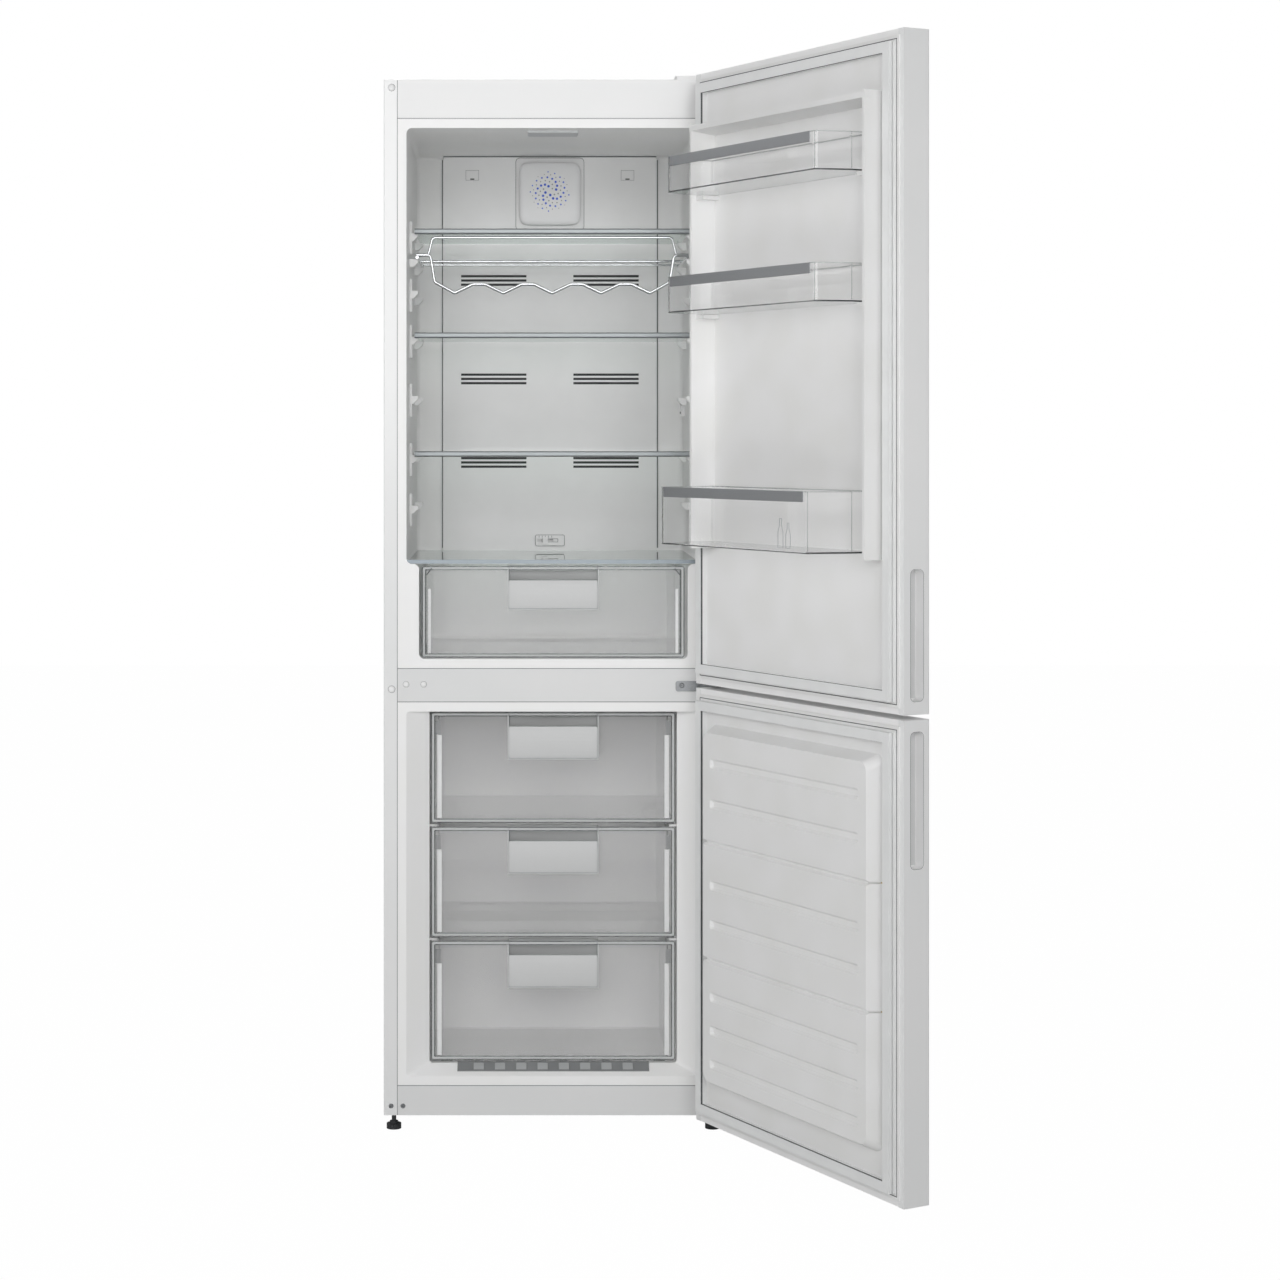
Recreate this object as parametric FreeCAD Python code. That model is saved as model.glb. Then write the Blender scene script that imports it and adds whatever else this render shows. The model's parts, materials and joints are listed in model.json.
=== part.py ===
"""Bottom freezer refrigerator, free-standing, with both doors open on their right-hand hinges.

Millimetres. X runs to the right and Y to the back. Heights in this file are above the floor; the
written solids have their origin at the middle of the cabinet's underside, at its front-to-back centre.
Depths are measured back from the cabinet's front plane. Both doors are modelled closed and then
turned about their hinge axis to the open position.
"""
import FreeCAD
import Part
import math
import os
from FreeCAD import Vector

# ---------------------------------------------------------------- driving dimensions
# cabinet
CABINET_W = 600.0
CABINET_D = 535.0
SHEET = 1.0                 # steel sheet
LINER_T = 2.0               # formed plastic wall
SIDE_WALL = 40.0            # skin, foam and liner together
SIDE_FLANGE = 24.0          # side panel folded across the front
REAR_FLANGE = 12.0
RAIL_LIP = 12.0             # rails folded back at their edges

# heights of the front, from the floor up
FLOOR_GAP = 28.5
BOTTOM_RAIL_H = 52.5
FREEZER_OPEN_H = 644.5
MID_RAIL_H = 59.0
FRIDGE_OPEN_H = 939.0
TOP_RAIL_H = 68.5
LINER_FLANGE = 17.0         # liner edge above and below each opening

# fridge space; heights in it are above its floor, drops are below its ceiling
INSIDE_DEPTH = 470.0        # both spaces, from the front plane
SPACE_CORNER_R = 13.0
SPACE_BACK_R = 10.0
CRISPER_WALL = 22.0         # how far each wall steps in beside the crisper
CRISPER_H = 168.0           # height of the narrower space for the crisper
DUCT_T = 15.0               # duct cover, front face to liner
DUCT_IN = 52.0              # duct cover's edges from the side walls
DUCT_SHEET = 2.5
VENT_W = 127.5
VENT_H = 4.5
VENT_PITCH = 8.3
VENT_INNER = 45.5           # from the middle to a vent's inner end
VENT_HEIGHTS = (697.0, 505.5, 343.0)
FAN_COVER_W = 117.0
FAN_COVER_H = 125.0
FAN_COVER_DROP = 74.0
FAN_COVER_T = 13.0
DUCT_CLIP_X = 151.0
DUCT_CLIP_W = 25.0
DUCT_CLIP_H = 19.0
DAMPER_W = 56.0
DAMPER_H = 21.0
DAMPER_HEIGHT = 191.5
DAMPER_T = 4.0
KNOB_W = 6.0
KNOB_X = -9.0
DAMPER_TRAVEL = 24.0
LAMP_W = 90.0
LAMP_D = 60.0
LAMP_T = 4.0
LAMP_DEPTH = 40.0
SENSOR_HEIGHT = 433.5
SENSOR_H = 31.0
SENSOR_W = 26.0
SENSOR_FROM_BACK = 55.0

# shelves and rack
SHELF_IN = 9.5              # shelf's ends from the side walls
SHELF_FRONT = 125.0         # depth of the front edge
SHELF_REAR_GAP = 40.0       # in front of the duct cover
SHELF_GLASS = 4.0
SHELF_TRIM_H = 10.0
SHELF_TRIM_D = 12.0
SHELF_HEIGHTS = (363.5, 579.5, 768.5)       # top of the glass
SPARE_HEIGHTS = (271.5, 471.5, 663.5)       # empty support levels
BOSS_REACH = 15.0           # support boss out of the wall
BOSS_D = 30.0
BOSS_H = 14.0
RACK_WIRE_R = 2.5
RACK_IN = 14.0              # side rails from the side walls
RACK_HEIGHT = 719.5
RACK_FRONT = 130.0
RACK_WAVE_GAP = 18.0
RACK_WELD = 0.8             # how far crossing wires sink into each other
RACK_BAR = 300.0            # depth of the rear cross bar
RACK_REAR_GAP = 50.0        # in front of the duct cover
RACK_SHOULDER = 24.0        # how far in the waves leave the side rails
RACK_LEG = 8.0
RACK_CREST = 53.0           # waves below the cross wires
RACK_VALLEY = 69.0
RACK_FLAT = 11.0
RACK_BEND = 7.0
BOTTLE_PITCH = 89.0
BOTTLES = 5

# crisper
LID_GLASS = 4.0
LID_FRONT = 5.0
CRISPER_FRONT = 22.0
CRISPER_REAR_GAP = 30.0     # in front of the duct cover
CRISPER_TOP_GAP = 4.7       # under the step that carries the lid
DRAWER_GAP = 4.5            # between a drawer's front and the liner beside it
DRAWER_T = 2.5
DRAWER_FRAME = 7.0          # raised frame round a drawer's front
HANDLE_W = 157.0
POCKET_D = 27.0             # finger pocket behind a drawer's front
POCKET_MOUTH = 25.0         # its open part, above the lip
LIP_BOW = 4.0

# freezer space
MOUTH_D = 26.0              # flared mouth
MOUTH_IN = 40.0             # how far each side wall comes in behind the mouth
MOUTH_UP = 17.0             # how far the floor comes up behind the mouth
FREEZER_CORNER_R = 6.0
FREEZER_DRAWER_FRONT = 30.0
FREEZER_FRONT_GAP = 2.5
FREEZER_DRAWER_HEIGHTS = (212.0, 196.0)          # bottom and middle; the top one takes the rest
FREEZER_TOP_GAP = 4.5
FREEZER_DRAWER_LIFT = 4.0   # first front above the floor of the space
FREEZER_DRAWER_STEP = 7.0   # between two fronts
FREEZER_HANDLE = 82.0
CRISPER_HANDLE = 76.0
EVAPORATOR_SPACE = 92.0     # behind the cover's face
COVER_T = 2.5
EVAPORATOR_FINS = 26
EVAPORATOR_H = 190.0
EVAPORATOR_LIFT = 12.0      # fins above the step
EVAPORATOR_IN = 26.0        # outer fins from the side walls
FIN_T = 0.8
FIN_END_GAP = 12.0          # from the outer fins to the end plates
COIL_ROWS = 5
END_PLATE_T = 2.0
HEATER_R = 3.0
HEATER_PITCH = 22.0
FAN_D = 92.0
FAN_BLADES = 7
GRILLE_IN = 50.0            # grille's ends from the side walls
GRILLE_FRONT = 9.0          # depth of its front edge, on the mouth's slope
GRILLE_T = 1.4

# machine bay at the back of the base
BAY_D = 207.0
BAY_H = 241.0
BAY_FOAM = 48.0
COMPRESSOR_D = 150.0
COMPRESSOR_H = 160.0
COMPRESSOR_IN = 190.0       # its axis from the cabinet's right side
TRAY_IN = 50.0              # drip tray from the cabinet's left side
TRAY_W = 220.0
TRAY_H = 46.0
TRAY_T = 3.0
TRAY_FRONT_GAP = 18.0
TRAY_REAR_GAP = 24.0
COIL_R = 2.4
COIL_PASSES = 8
COIL_MARGIN = 70.0

# what it stands on
FOOT_R = 13.0
FOOT_DISC_H = 9.0
STUD_R = 4.0
FOOT_IN = 17.0              # feet from the cabinet's sides
FOOT_DEPTH = 24.0
ROLLER_R = 12.5
ROLLER_W = 20.0
ROLLER_AXLE_R = 3.0
ROLLER_IN = 38.0            # rollers from the cabinet's sides
ROLLER_FROM_BACK = 40.0
SLEEVE_H = 34.0

# doors
DOOR_IN = 2.0               # door's edges from the cabinet's sides
DOOR_T = 50.0
DOOR_GAP = 15.0             # cabinet front to the door's inner face, filled by the gasket
DOORS_APART = 8.0
DOORS_MEET = 6.0            # middle of their gap, above the middle rail's middle
FREEZER_DOOR_LIFT = 10.5    # above the cabinet's underside
DOOR_EDGE_R = 4.0
DOOR_LIP = 14.0             # skin folded round to the inner face
CAP_T = 12.0                # end caps
HINGE_IN = 12.0             # axis from the cabinet's side
HINGE_OUT = 55.0            # axis in front of the cabinet's front plane
DOOR_OPEN = 118.3           # degrees
LINER_IN = 10.0             # door liner's edge, from the door's edge
GASKET_IN = 20.0
GASKET_W = 16.0
DYKE_IN = 43.0              # door liner's upright ribs, from the door's edge
DYKE_W = 12.0
DYKE_H = 42.0
DYKE_DROP = 8.5
DYKE_HEIGHT = 201.5
PANEL_H = 26.0              # freezer door liner's raised panel
PANEL_IN = 50.0
PANEL_BEVEL = 13.0
PANEL_TOP_GAP = 8.0
PANEL_RIBS = (572.0, 503.0, 364.0, 297.0, 173.0, 116.0, 59.0)    # above the freezer opening's lower edge
PANEL_GROOVES = (436.0, 235.0)
PANEL_RIB_H = 17.0
GROOVE_DEPTH = 5.0
GROOVE_DRAFT = 4.0          # how far a groove's sides lean in
DIVIDE_H = 11.0             # the two grooves across the whole panel
PANEL_RIB_ENDS = 34.0       # from the panel's edges
GRIP_W = 24.0
GRIP_DEPTH = 20.0
FRIDGE_GRIP_LIFT = 21.0     # above the fridge door's lower edge
FRIDGE_GRIP_H = 203.0
FREEZER_GRIP_DROP = 19.0    # below the freezer door's upper edge
FREEZER_GRIP_H = 211.0
GRIP_T = 1.5

# door bins
BIN_T = 2.5
BIN_BACK = 5.0              # from the door liner's face
BIN_IN = 64.0               # from the door's edge
BIN_TAPER = 18.0            # each end comes in this much at the front
BIN_BAND_H = 17.0
BIN_BAND_T = 2.0
SMALL_BIN_REACH = 110.0
SMALL_BIN_H = 61.0
BOTTLE_BIN_REACH = 123.0
BOTTLE_BIN_H = 97.0
UPPER_BIN_DROP = 132.5
MIDDLE_BIN_HEIGHT = 602.5
BOTTLE_BIN_HEIGHT = 211.5

# hinges
PIN_R = 4.0
PIN_LENGTH = 16.0
BUSH_R = 9.0
PLATE_T = 3.0
MID_PLATE_H = 18.0
MID_PLATE_L = 82.0
TOP_PLATE_L = 80.0
HINGE_ARM_W = 22.0
HINGE_FOOT_W = 60.0         # bottom hinge's part under the cabinet
HINGE_FOOT_D = 90.0
COVER_H = 7.0
SCREW_R = 5.0
SCREW_H = 2.5
PLUG_R = 6.0

# clearances
RUNNING = 0.06              # radial, pin in bush
SEAT = 0.3                  # a loose piece above what carries it

# ---------------------------------------------------------------- worked-out places
FRONT = -CABINET_D / 2
BACK = CABINET_D / 2
HALF = CABINET_W / 2
OPEN_HALF = HALF - SIDE_WALL
RAIL_HALF = HALF - SIDE_FLANGE
FREEZER_HALF = OPEN_HALF - MOUTH_IN
CRISPER_HALF = OPEN_HALF - CRISPER_WALL

UNDERSIDE = FLOOR_GAP
BOTTOM_RAIL_TOP = UNDERSIDE + BOTTOM_RAIL_H
FREEZER_Z0 = BOTTOM_RAIL_TOP + LINER_FLANGE
FREEZER_Z1 = FREEZER_Z0 + FREEZER_OPEN_H
MID_RAIL_Z0 = FREEZER_Z1 + LINER_FLANGE
MID_RAIL_Z1 = MID_RAIL_Z0 + MID_RAIL_H
FRIDGE_Z0 = MID_RAIL_Z1 + LINER_FLANGE
FRIDGE_Z1 = FRIDGE_Z0 + FRIDGE_OPEN_H
TOP_RAIL_Z0 = FRIDGE_Z1 + LINER_FLANGE
CABINET_TOP = TOP_RAIL_Z0 + TOP_RAIL_H

CRISPER_TOP = FRIDGE_Z0 + CRISPER_H
FREEZER_FLOOR = FREEZER_Z0 + MOUTH_UP
BAY_TOP = UNDERSIDE + BAY_H
BAY_FRONT = BACK - BAY_D
STEP_Z = BAY_TOP + BAY_FOAM
STEP_Y = BAY_FRONT - BAY_FOAM
DUCT_FACE = FRONT + INSIDE_DEPTH - DUCT_T
COVER_FACE = FRONT + INSIDE_DEPTH - EVAPORATOR_SPACE

FAN_COVER_Z = FRIDGE_Z1 - FAN_COVER_DROP
DAMPER_Z = FRIDGE_Z0 + DAMPER_HEIGHT
RACK_Z = FRIDGE_Z0 + RACK_HEIGHT
RACK_HALF = OPEN_HALF - RACK_IN
SHELF_HALF = OPEN_HALF - SHELF_IN
SHELF_BACK = DUCT_FACE - SHELF_REAR_GAP
SHELF_TOPS = [FRIDGE_Z0 + height for height in SHELF_HEIGHTS]
SPARE_TOPS = [FRIDGE_Z0 + height for height in SPARE_HEIGHTS]

FOOT_X = HALF - FOOT_IN
ROLLER_X = HALF - ROLLER_IN
COMPRESSOR_X = HALF - COMPRESSOR_IN

HINGE_X = HALF - HINGE_IN
HINGE_Y = FRONT - HINGE_OUT
DOOR_INNER = FRONT - DOOR_GAP
DOOR_OUTER = DOOR_INNER - DOOR_T
DOOR_HALF = HALF - DOOR_IN
FRIDGE_DOOR_TOP = CABINET_TOP - 1.0
DOORS_MEET_Z = (MID_RAIL_Z0 + MID_RAIL_Z1) / 2 + DOORS_MEET
FRIDGE_DOOR_BOTTOM = DOORS_MEET_Z + DOORS_APART / 2
FREEZER_DOOR_TOP = DOORS_MEET_Z - DOORS_APART / 2
FREEZER_DOOR_BOTTOM = UNDERSIDE + FREEZER_DOOR_LIFT
FRIDGE_GRIP = (FRIDGE_DOOR_BOTTOM + FRIDGE_GRIP_LIFT, FRIDGE_DOOR_BOTTOM + FRIDGE_GRIP_LIFT + FRIDGE_GRIP_H)
FREEZER_GRIP = (FREEZER_DOOR_TOP - FREEZER_GRIP_DROP - FREEZER_GRIP_H, FREEZER_DOOR_TOP - FREEZER_GRIP_DROP)
BIN_HEIGHTS = (FRIDGE_Z1 - UPPER_BIN_DROP, FRIDGE_Z0 + MIDDLE_BIN_HEIGHT)
BOTTLE_BIN_Z = FRIDGE_Z0 + BOTTLE_BIN_HEIGHT

UP = Vector(0, 0, 1)


# ---------------------------------------------------------------- helpers
def box(x0, x1, y0, y1, z0, z1):
    return Part.makeBox(x1 - x0, y1 - y0, z1 - z0, Vector(x0, y0, z0))


def rod(radius, start, end):
    start = Vector(*start)
    along = Vector(*end) - start
    return Part.makeCylinder(radius, along.Length, start, along)


def joined(shapes):
    shapes = list(shapes)
    if len(shapes) == 1:
        return shapes[0]
    return shapes[0].fuse(shapes[1:]).removeSplitter()


def group(shapes):
    return Part.makeCompound(list(shapes))


def mirrored(shape):
    """The shape and its twin on the other side of the cabinet's middle plane."""
    return shape.mirror(Vector(0, 0, 0), Vector(1, 0, 0))


def edges_along(shape, axis, keep=lambda middle: True):
    """Straight edges parallel to an axis whose middle point passes the test."""
    found = []
    for edge in shape.Edges:
        if edge.Curve.TypeId != "Part::GeomLine":
            continue
        run = edge.lastVertex().Point - edge.firstVertex().Point
        if run.Length < 1e-6 or abs(abs(run.normalize().dot(axis)) - 1) > 1e-6:
            continue
        if keep(edge.CenterOfMass):
            found.append(edge)
    return found


def rounded_face(points, radius):
    """A flat face through the points in order, with every corner rounded by one radius."""
    points = [Vector(*p) for p in points]
    edges = []
    starts = []
    ends = []
    middles = []
    count = len(points)
    for i, corner in enumerate(points):
        back = (points[i - 1] - corner).normalize()
        ahead = (points[(i + 1) % count] - corner).normalize()
        half = math.acos(max(-1.0, min(1.0, back.dot(ahead)))) / 2
        reach = radius / math.tan(half)
        inward = (back + ahead).normalize()
        centre = corner + inward * (radius / math.sin(half))
        starts.append(corner + back * reach)
        ends.append(corner + ahead * reach)
        middles.append(centre - inward * radius)
    for i in range(count):
        edges.append(Part.Arc(starts[i], middles[i], ends[i]).toShape())
        following = starts[(i + 1) % count]
        if (following - ends[i]).Length > 1e-6:
            edges.append(Part.LineSegment(ends[i], following).toShape())
    return Part.Face(Part.Wire(edges))


def rectangle(half, y, z0, z1, radius):
    corners = [(-half, y, z0), (half, y, z0), (half, y, z1), (-half, y, z1)]
    return rounded_face(corners, radius)


def bent_tube(points, radius, bend):
    """A round bar along straight runs joined by tangent arcs."""
    points = [Vector(*p) for p in points]
    edges = []
    at = points[0]
    for before, corner, after in zip(points, points[1:], points[2:]):
        back = (before - corner).normalize()
        ahead = (after - corner).normalize()
        half = math.acos(max(-1.0, min(1.0, back.dot(ahead)))) / 2
        reach = bend / math.tan(half)
        inward = (back + ahead).normalize()
        middle = corner + inward * (bend / math.sin(half) - bend)
        start = corner + back * reach
        end = corner + ahead * reach
        edges.append(Part.LineSegment(at, start).toShape())
        edges.append(Part.Arc(start, middle, end).toShape())
        at = end
    edges.append(Part.LineSegment(at, points[-1]).toShape())
    along = points[1] - points[0]
    profile = Part.Wire([Part.Circle(points[0], along, radius).toShape()])
    return Part.Wire(edges).makePipeShell([profile], True, False)


def extruded_yz(points, x0, x1):
    """A prism whose outline is given as (y, z) points, from x0 to x1."""
    outline = [Vector(x0, y, z) for y, z in points]
    return Part.Face(Part.makePolygon(outline + outline[:1])).extrude(Vector(x1 - x0, 0, 0))


def extruded_xy(points, z0, z1):
    """A prism whose outline is given as (x, y) points, from z0 to z1."""
    outline = [Vector(x, y, z0) for x, y in points]
    return Part.Face(Part.makePolygon(outline + outline[:1])).extrude(Vector(0, 0, z1 - z0))


def write(name, shape):
    """Write one piece, lowered so that the origin is on the cabinet's underside."""
    placed = shape.copy()
    placed.translate(Vector(0, 0, -UNDERSIDE))
    os.makedirs("parts", exist_ok=True)
    placed.exportStep("parts/" + name + ".step")


def opened(shape):
    """A door piece turned from closed to its open rest position."""
    turned = shape.copy()
    turned.rotate(Vector(HINGE_X, HINGE_Y, 0), UP, DOOR_OPEN)
    return turned


# ---------------------------------------------------------------- cabinet shell
def side_panel():
    """The right-hand side sheet, folded across the front and at the back."""
    side = box(HALF - SHEET, HALF, FRONT, BACK, UNDERSIDE, CABINET_TOP)
    front = box(RAIL_HALF, HALF, FRONT, FRONT + SHEET, UNDERSIDE, CABINET_TOP)
    rear_y = BACK - SHEET
    rear = box(HALF - REAR_FLANGE, HALF, rear_y - SHEET, rear_y, UNDERSIDE, CABINET_TOP - SHEET)
    panel = joined([side, front, rear])
    corner = edges_along(panel, UP, lambda p: p.x > HALF - 0.1 and p.y < FRONT + 0.1)
    return panel.makeFillet(2.0 * SHEET, corner)


def top_panel():
    return box(-HALF + SHEET, HALF - SHEET, FRONT + SHEET, BACK, CABINET_TOP - SHEET, CABINET_TOP)


def rail(z0, z1, covered_top):
    """A front rail with lips folded back; the top rail's upper lip is the top panel itself."""
    face = box(-RAIL_HALF, RAIL_HALF, FRONT, FRONT + SHEET, z0, z1)
    lips = [box(-RAIL_HALF, RAIL_HALF, FRONT, FRONT + RAIL_LIP, z0, z0 + SHEET)]
    if not covered_top:
        lips.append(box(-RAIL_HALF, RAIL_HALF, FRONT, FRONT + RAIL_LIP, z1 - SHEET, z1))
    return joined([face] + lips)


def front_rails():
    return group([
        rail(UNDERSIDE, BOTTOM_RAIL_TOP, False),
        rail(MID_RAIL_Z0, MID_RAIL_Z1, False),
        rail(TOP_RAIL_Z0, CABINET_TOP, True).cut(top_panel()),
    ])


def back_panel():
    return box(-HALF + SHEET, HALF - SHEET, BACK - SHEET, BACK, BAY_TOP, CABINET_TOP - SHEET)


def foot_sleeves():
    """Closed threaded sleeves, standing on the bottom sheet, for the front feet."""
    y = FRONT + FOOT_DEPTH
    return [rod(STUD_R + 3.0, (x, y, UNDERSIDE), (x, y, UNDERSIDE + SLEEVE_H)) for x in (-FOOT_X, FOOT_X)]


def base_plate():
    """The bottom sheet with the machine bay's riser and roof, foot sleeves and roller ears."""
    inner = HALF - SHEET
    low = UNDERSIDE
    start = FRONT + RAIL_LIP
    floor = box(-inner, inner, start, BACK - 2 * SHEET, low, low + SHEET)
    riser = box(-inner, inner, BAY_FRONT, BAY_FRONT + SHEET, low, BAY_TOP)
    roof = box(-inner, inner, BAY_FRONT, BACK - 2 * SHEET, BAY_TOP - SHEET, BAY_TOP)
    pieces = [floor, riser, roof] + foot_sleeves()
    holes = []
    foot_y = FRONT + FOOT_DEPTH
    ear_y = BACK - ROLLER_FROM_BACK
    for side in (-1, 1):
        x = side * FOOT_X
        holes.append(rod(STUD_R + RUNNING, (x, foot_y, low - 1), (x, foot_y, low + SLEEVE_H - 2)))
        for edge in (-1, 1):
            ear_in = side * ROLLER_X + edge * (ROLLER_W / 2 + SEAT)
            ear_out = ear_in + edge * 2.0
            x0, x1 = sorted((ear_in, ear_out))
            pieces.append(box(x0, x1, ear_y - 9, ear_y + 9, ROLLER_R - 6, low))
        ends = ROLLER_W / 2 + 4
        holes.append(rod(
            ROLLER_AXLE_R + RUNNING,
            (side * ROLLER_X - ends, ear_y, ROLLER_R),
            (side * ROLLER_X + ends, ear_y, ROLLER_R),
        ))
    pan_z = low + PLATE_T
    pan_x = inner - HINGE_FOOT_W - 2 * SHEET
    pan_y = FRONT + HINGE_FOOT_D + 2 * SHEET
    pieces.append(box(pan_x, inner, start, pan_y, low, pan_z + SHEET))
    holes.append(box(pan_x + SHEET, inner + 1, start - 1, pan_y - SHEET, low - 1, pan_z))
    return joined(pieces).cut(holes)


# ---------------------------------------------------------------- liners and foam
def fridge_space(grow=0.0):
    """The fridge's inside as a solid, with every wall moved out by grow."""
    wide = OPEN_HALF + grow
    narrow = CRISPER_HALF + grow
    step = CRISPER_TOP - grow
    outline = [
        (-narrow, FRONT, FRIDGE_Z0 - grow),
        (narrow, FRONT, FRIDGE_Z0 - grow),
        (narrow, FRONT, step),
        (wide, FRONT, step),
        (wide, FRONT, FRIDGE_Z1 + grow),
        (-wide, FRONT, FRIDGE_Z1 + grow),
        (-wide, FRONT, step),
        (-narrow, FRONT, step),
    ]
    corner = min(SPACE_CORNER_R, CRISPER_WALL / 2 - 1)
    space = rounded_face(outline, corner).extrude(Vector(0, INSIDE_DEPTH + grow, 0))
    back_edges = []
    for edge in space.Edges:
        if edge.BoundBox.YMin > FRONT + INSIDE_DEPTH + grow - 0.01:
            back_edges.append(edge)
    return space.makeFillet(min(SPACE_BACK_R, corner - 1), back_edges)


def freezer_space(grow=0.0):
    """The freezer's inside: a flared mouth, then a deep upper part over the machine bay."""
    half = FREEZER_HALF + grow
    floor = FREEZER_FLOOR - grow
    top = FREEZER_Z1 + grow
    mouth_back = FRONT + MOUTH_D
    corner = FREEZER_CORNER_R
    outer = rectangle(OPEN_HALF + grow, FRONT, FREEZER_Z0 - grow, top, corner)
    inner = rectangle(half, mouth_back, floor, top, corner)
    mouth = Part.makeLoft([outer.OuterWire, inner.OuterWire], True, True)
    low_part = rectangle(half, mouth_back, floor, top, corner)
    low_part = low_part.extrude(Vector(0, STEP_Y + grow - mouth_back, 0))
    high_part = rectangle(half, mouth_back, STEP_Z - grow, top, corner)
    high_part = high_part.extrude(Vector(0, FRONT + INSIDE_DEPTH + grow - mouth_back, 0))
    return joined([mouth, low_part, high_part])


def air_passage():
    """The way up from the evaporator into the fridge's duct."""
    y = FRONT + INSIDE_DEPTH - DUCT_T
    return box(-45, 45, y + 3, y + DUCT_T - 2, FREEZER_Z1 - 5, FRIDGE_Z0 + 5)


def boss(level_top, depth):
    """One support boss on the right-hand wall, its top face at the given height."""
    y = FRONT + depth
    block = box(OPEN_HALF - BOSS_REACH, OPEN_HALF + 1, y, y + BOSS_D, level_top - BOSS_H, level_top)
    lower = edges_along(block, Vector(0, 1, 0), lambda p: p.x < OPEN_HALF - 1 and p.z < level_top - 1)
    return block.makeChamfer(BOSS_REACH * 0.55, lower)


def support_levels():
    """Top faces of the bosses: under each shelf, under the rack, and the empty levels."""
    levels = [z - SHELF_GLASS - SEAT for z in SHELF_TOPS + SPARE_TOPS]
    levels.append(RACK_Z - RACK_WIRE_R - SEAT)
    return levels


def fridge_liner():
    hollow = fridge_space()
    flange = box(-RAIL_HALF, RAIL_HALF, FRONT, FRONT + LINER_T, MID_RAIL_Z1, TOP_RAIL_Z0)
    shell = joined([fridge_space(LINER_T), flange]).cut(hollow)
    bosses = []
    for level in support_levels():
        for depth in (SHELF_FRONT + SHELF_TRIM_D + 2, SHELF_BACK - FRONT - BOSS_D - 6):
            right = boss(level, depth)
            bosses += [right, mirrored(right)]
    solid_walls = fridge_space(LINER_T)
    bosses = [b.common(solid_walls) for b in bosses]
    return joined([shell, sensor_cover()] + bosses).cut(air_passage())


def freezer_ledges():
    """Rails moulded in the side walls, one pair under each drawer above the lowest."""
    ledges = []
    for front in freezer_fronts()[1:]:
        z = front[0] - FREEZER_DRAWER_STEP / 2
        for side in (-1, 1):
            x0, x1 = sorted((side * (FREEZER_HALF - 13), side * FREEZER_HALF))
            y1 = COVER_FACE - 10
            ledges.append(box(x0, x1, FRONT + FREEZER_DRAWER_FRONT + 8, y1, z - 4, z))
    return ledges


def freezer_liner():
    flange = box(-RAIL_HALF, RAIL_HALF, FRONT, FRONT + LINER_T, BOTTOM_RAIL_TOP, MID_RAIL_Z0)
    shell = joined([freezer_space(LINER_T), flange]).cut(freezer_space())
    return joined([shell] + freezer_ledges()).cut(air_passage())


def insulation_foam(neighbours):
    inner = HALF - SHEET
    block = box(-inner, inner, FRONT + LINER_T, BACK - SHEET, UNDERSIDE + SHEET, CABINET_TOP - SHEET)
    bay = box(-HALF, HALF, BAY_FRONT + SHEET, BACK, 0, BAY_TOP)
    spaces = [fridge_space(LINER_T), freezer_space(LINER_T), bay, air_passage()]
    return block.cut(spaces).cut(neighbours)


# ---------------------------------------------------------------- fridge fittings
def rounded_plate(width, height, centre_x, centre_z, y0, y1, radius):
    """An upright plate between two depths, with its four corners rounded."""
    x0 = centre_x - width / 2
    x1 = centre_x + width / 2
    plate = box(x0, x1, y0, y1, centre_z - height / 2, centre_z + height / 2)
    return plate.makeFillet(radius, edges_along(plate, Vector(0, 1, 0)))


def vent_slots():
    slots = []
    for height in VENT_HEIGHTS:
        for row in (-1, 0, 1):
            for side in (-1, 1):
                x0, x1 = sorted((side * VENT_INNER, side * (VENT_INNER + VENT_W)))
                middle = FRIDGE_Z0 + height + row * VENT_PITCH
                low = middle - VENT_H / 2
                slots.append(box(x0, x1, DUCT_FACE - 1, DUCT_FACE + DUCT_SHEET + 1, low, low + VENT_H))
    return slots


def air_duct_cover():
    """A tray-shaped cover in front of the liner's back wall, with vents, clips and damper guide."""
    z0 = FRIDGE_Z0 + 12
    z1 = FRIDGE_Z1 - 1
    back = FRONT + INSIDE_DEPTH
    middle = (z0 + z1) / 2
    width = 2 * (OPEN_HALF - DUCT_IN)
    outer = rounded_plate(width, z1 - z0, 0, middle, DUCT_FACE, back, 8.0)
    hollow = rounded_plate(
        width - 2 * DUCT_SHEET, z1 - z0 - 2 * DUCT_SHEET, 0, middle, DUCT_FACE + DUCT_SHEET, back, 6.0
    )
    cover = outer.cut(hollow)
    recess = rounded_plate(
        FAN_COVER_W + 16, FAN_COVER_H + 16, 0, FAN_COVER_Z, DUCT_FACE - 1, DUCT_FACE + 1.2, 8.0
    )
    guide = box(-DAMPER_W / 2, DAMPER_W / 2, DUCT_FACE - DAMPER_T, DUCT_FACE,
                DAMPER_Z - DAMPER_H / 2, DAMPER_Z + DAMPER_H / 2)
    slot_half = DAMPER_TRAVEL / 2 + KNOB_W / 2 + SEAT
    slot = box(KNOB_X - slot_half, KNOB_X + slot_half, DUCT_FACE - DAMPER_T - 1,
               DUCT_FACE + DUCT_SHEET + 1, DAMPER_Z - 3, DAMPER_Z + 3)
    clips = []
    for side in (-1, 1):
        clips.append(box(
            side * DUCT_CLIP_X - DUCT_CLIP_W / 2, side * DUCT_CLIP_X + DUCT_CLIP_W / 2,
            DUCT_FACE - 1, DUCT_FACE + 0.8, FRIDGE_Z1 - 47, FRIDGE_Z1 - 47 + DUCT_CLIP_H,
        ))
    whole = joined([cover.common(fridge_space(-SEAT)), guide])
    return whole.cut(vent_slots() + clips + [recess, slot])


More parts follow.
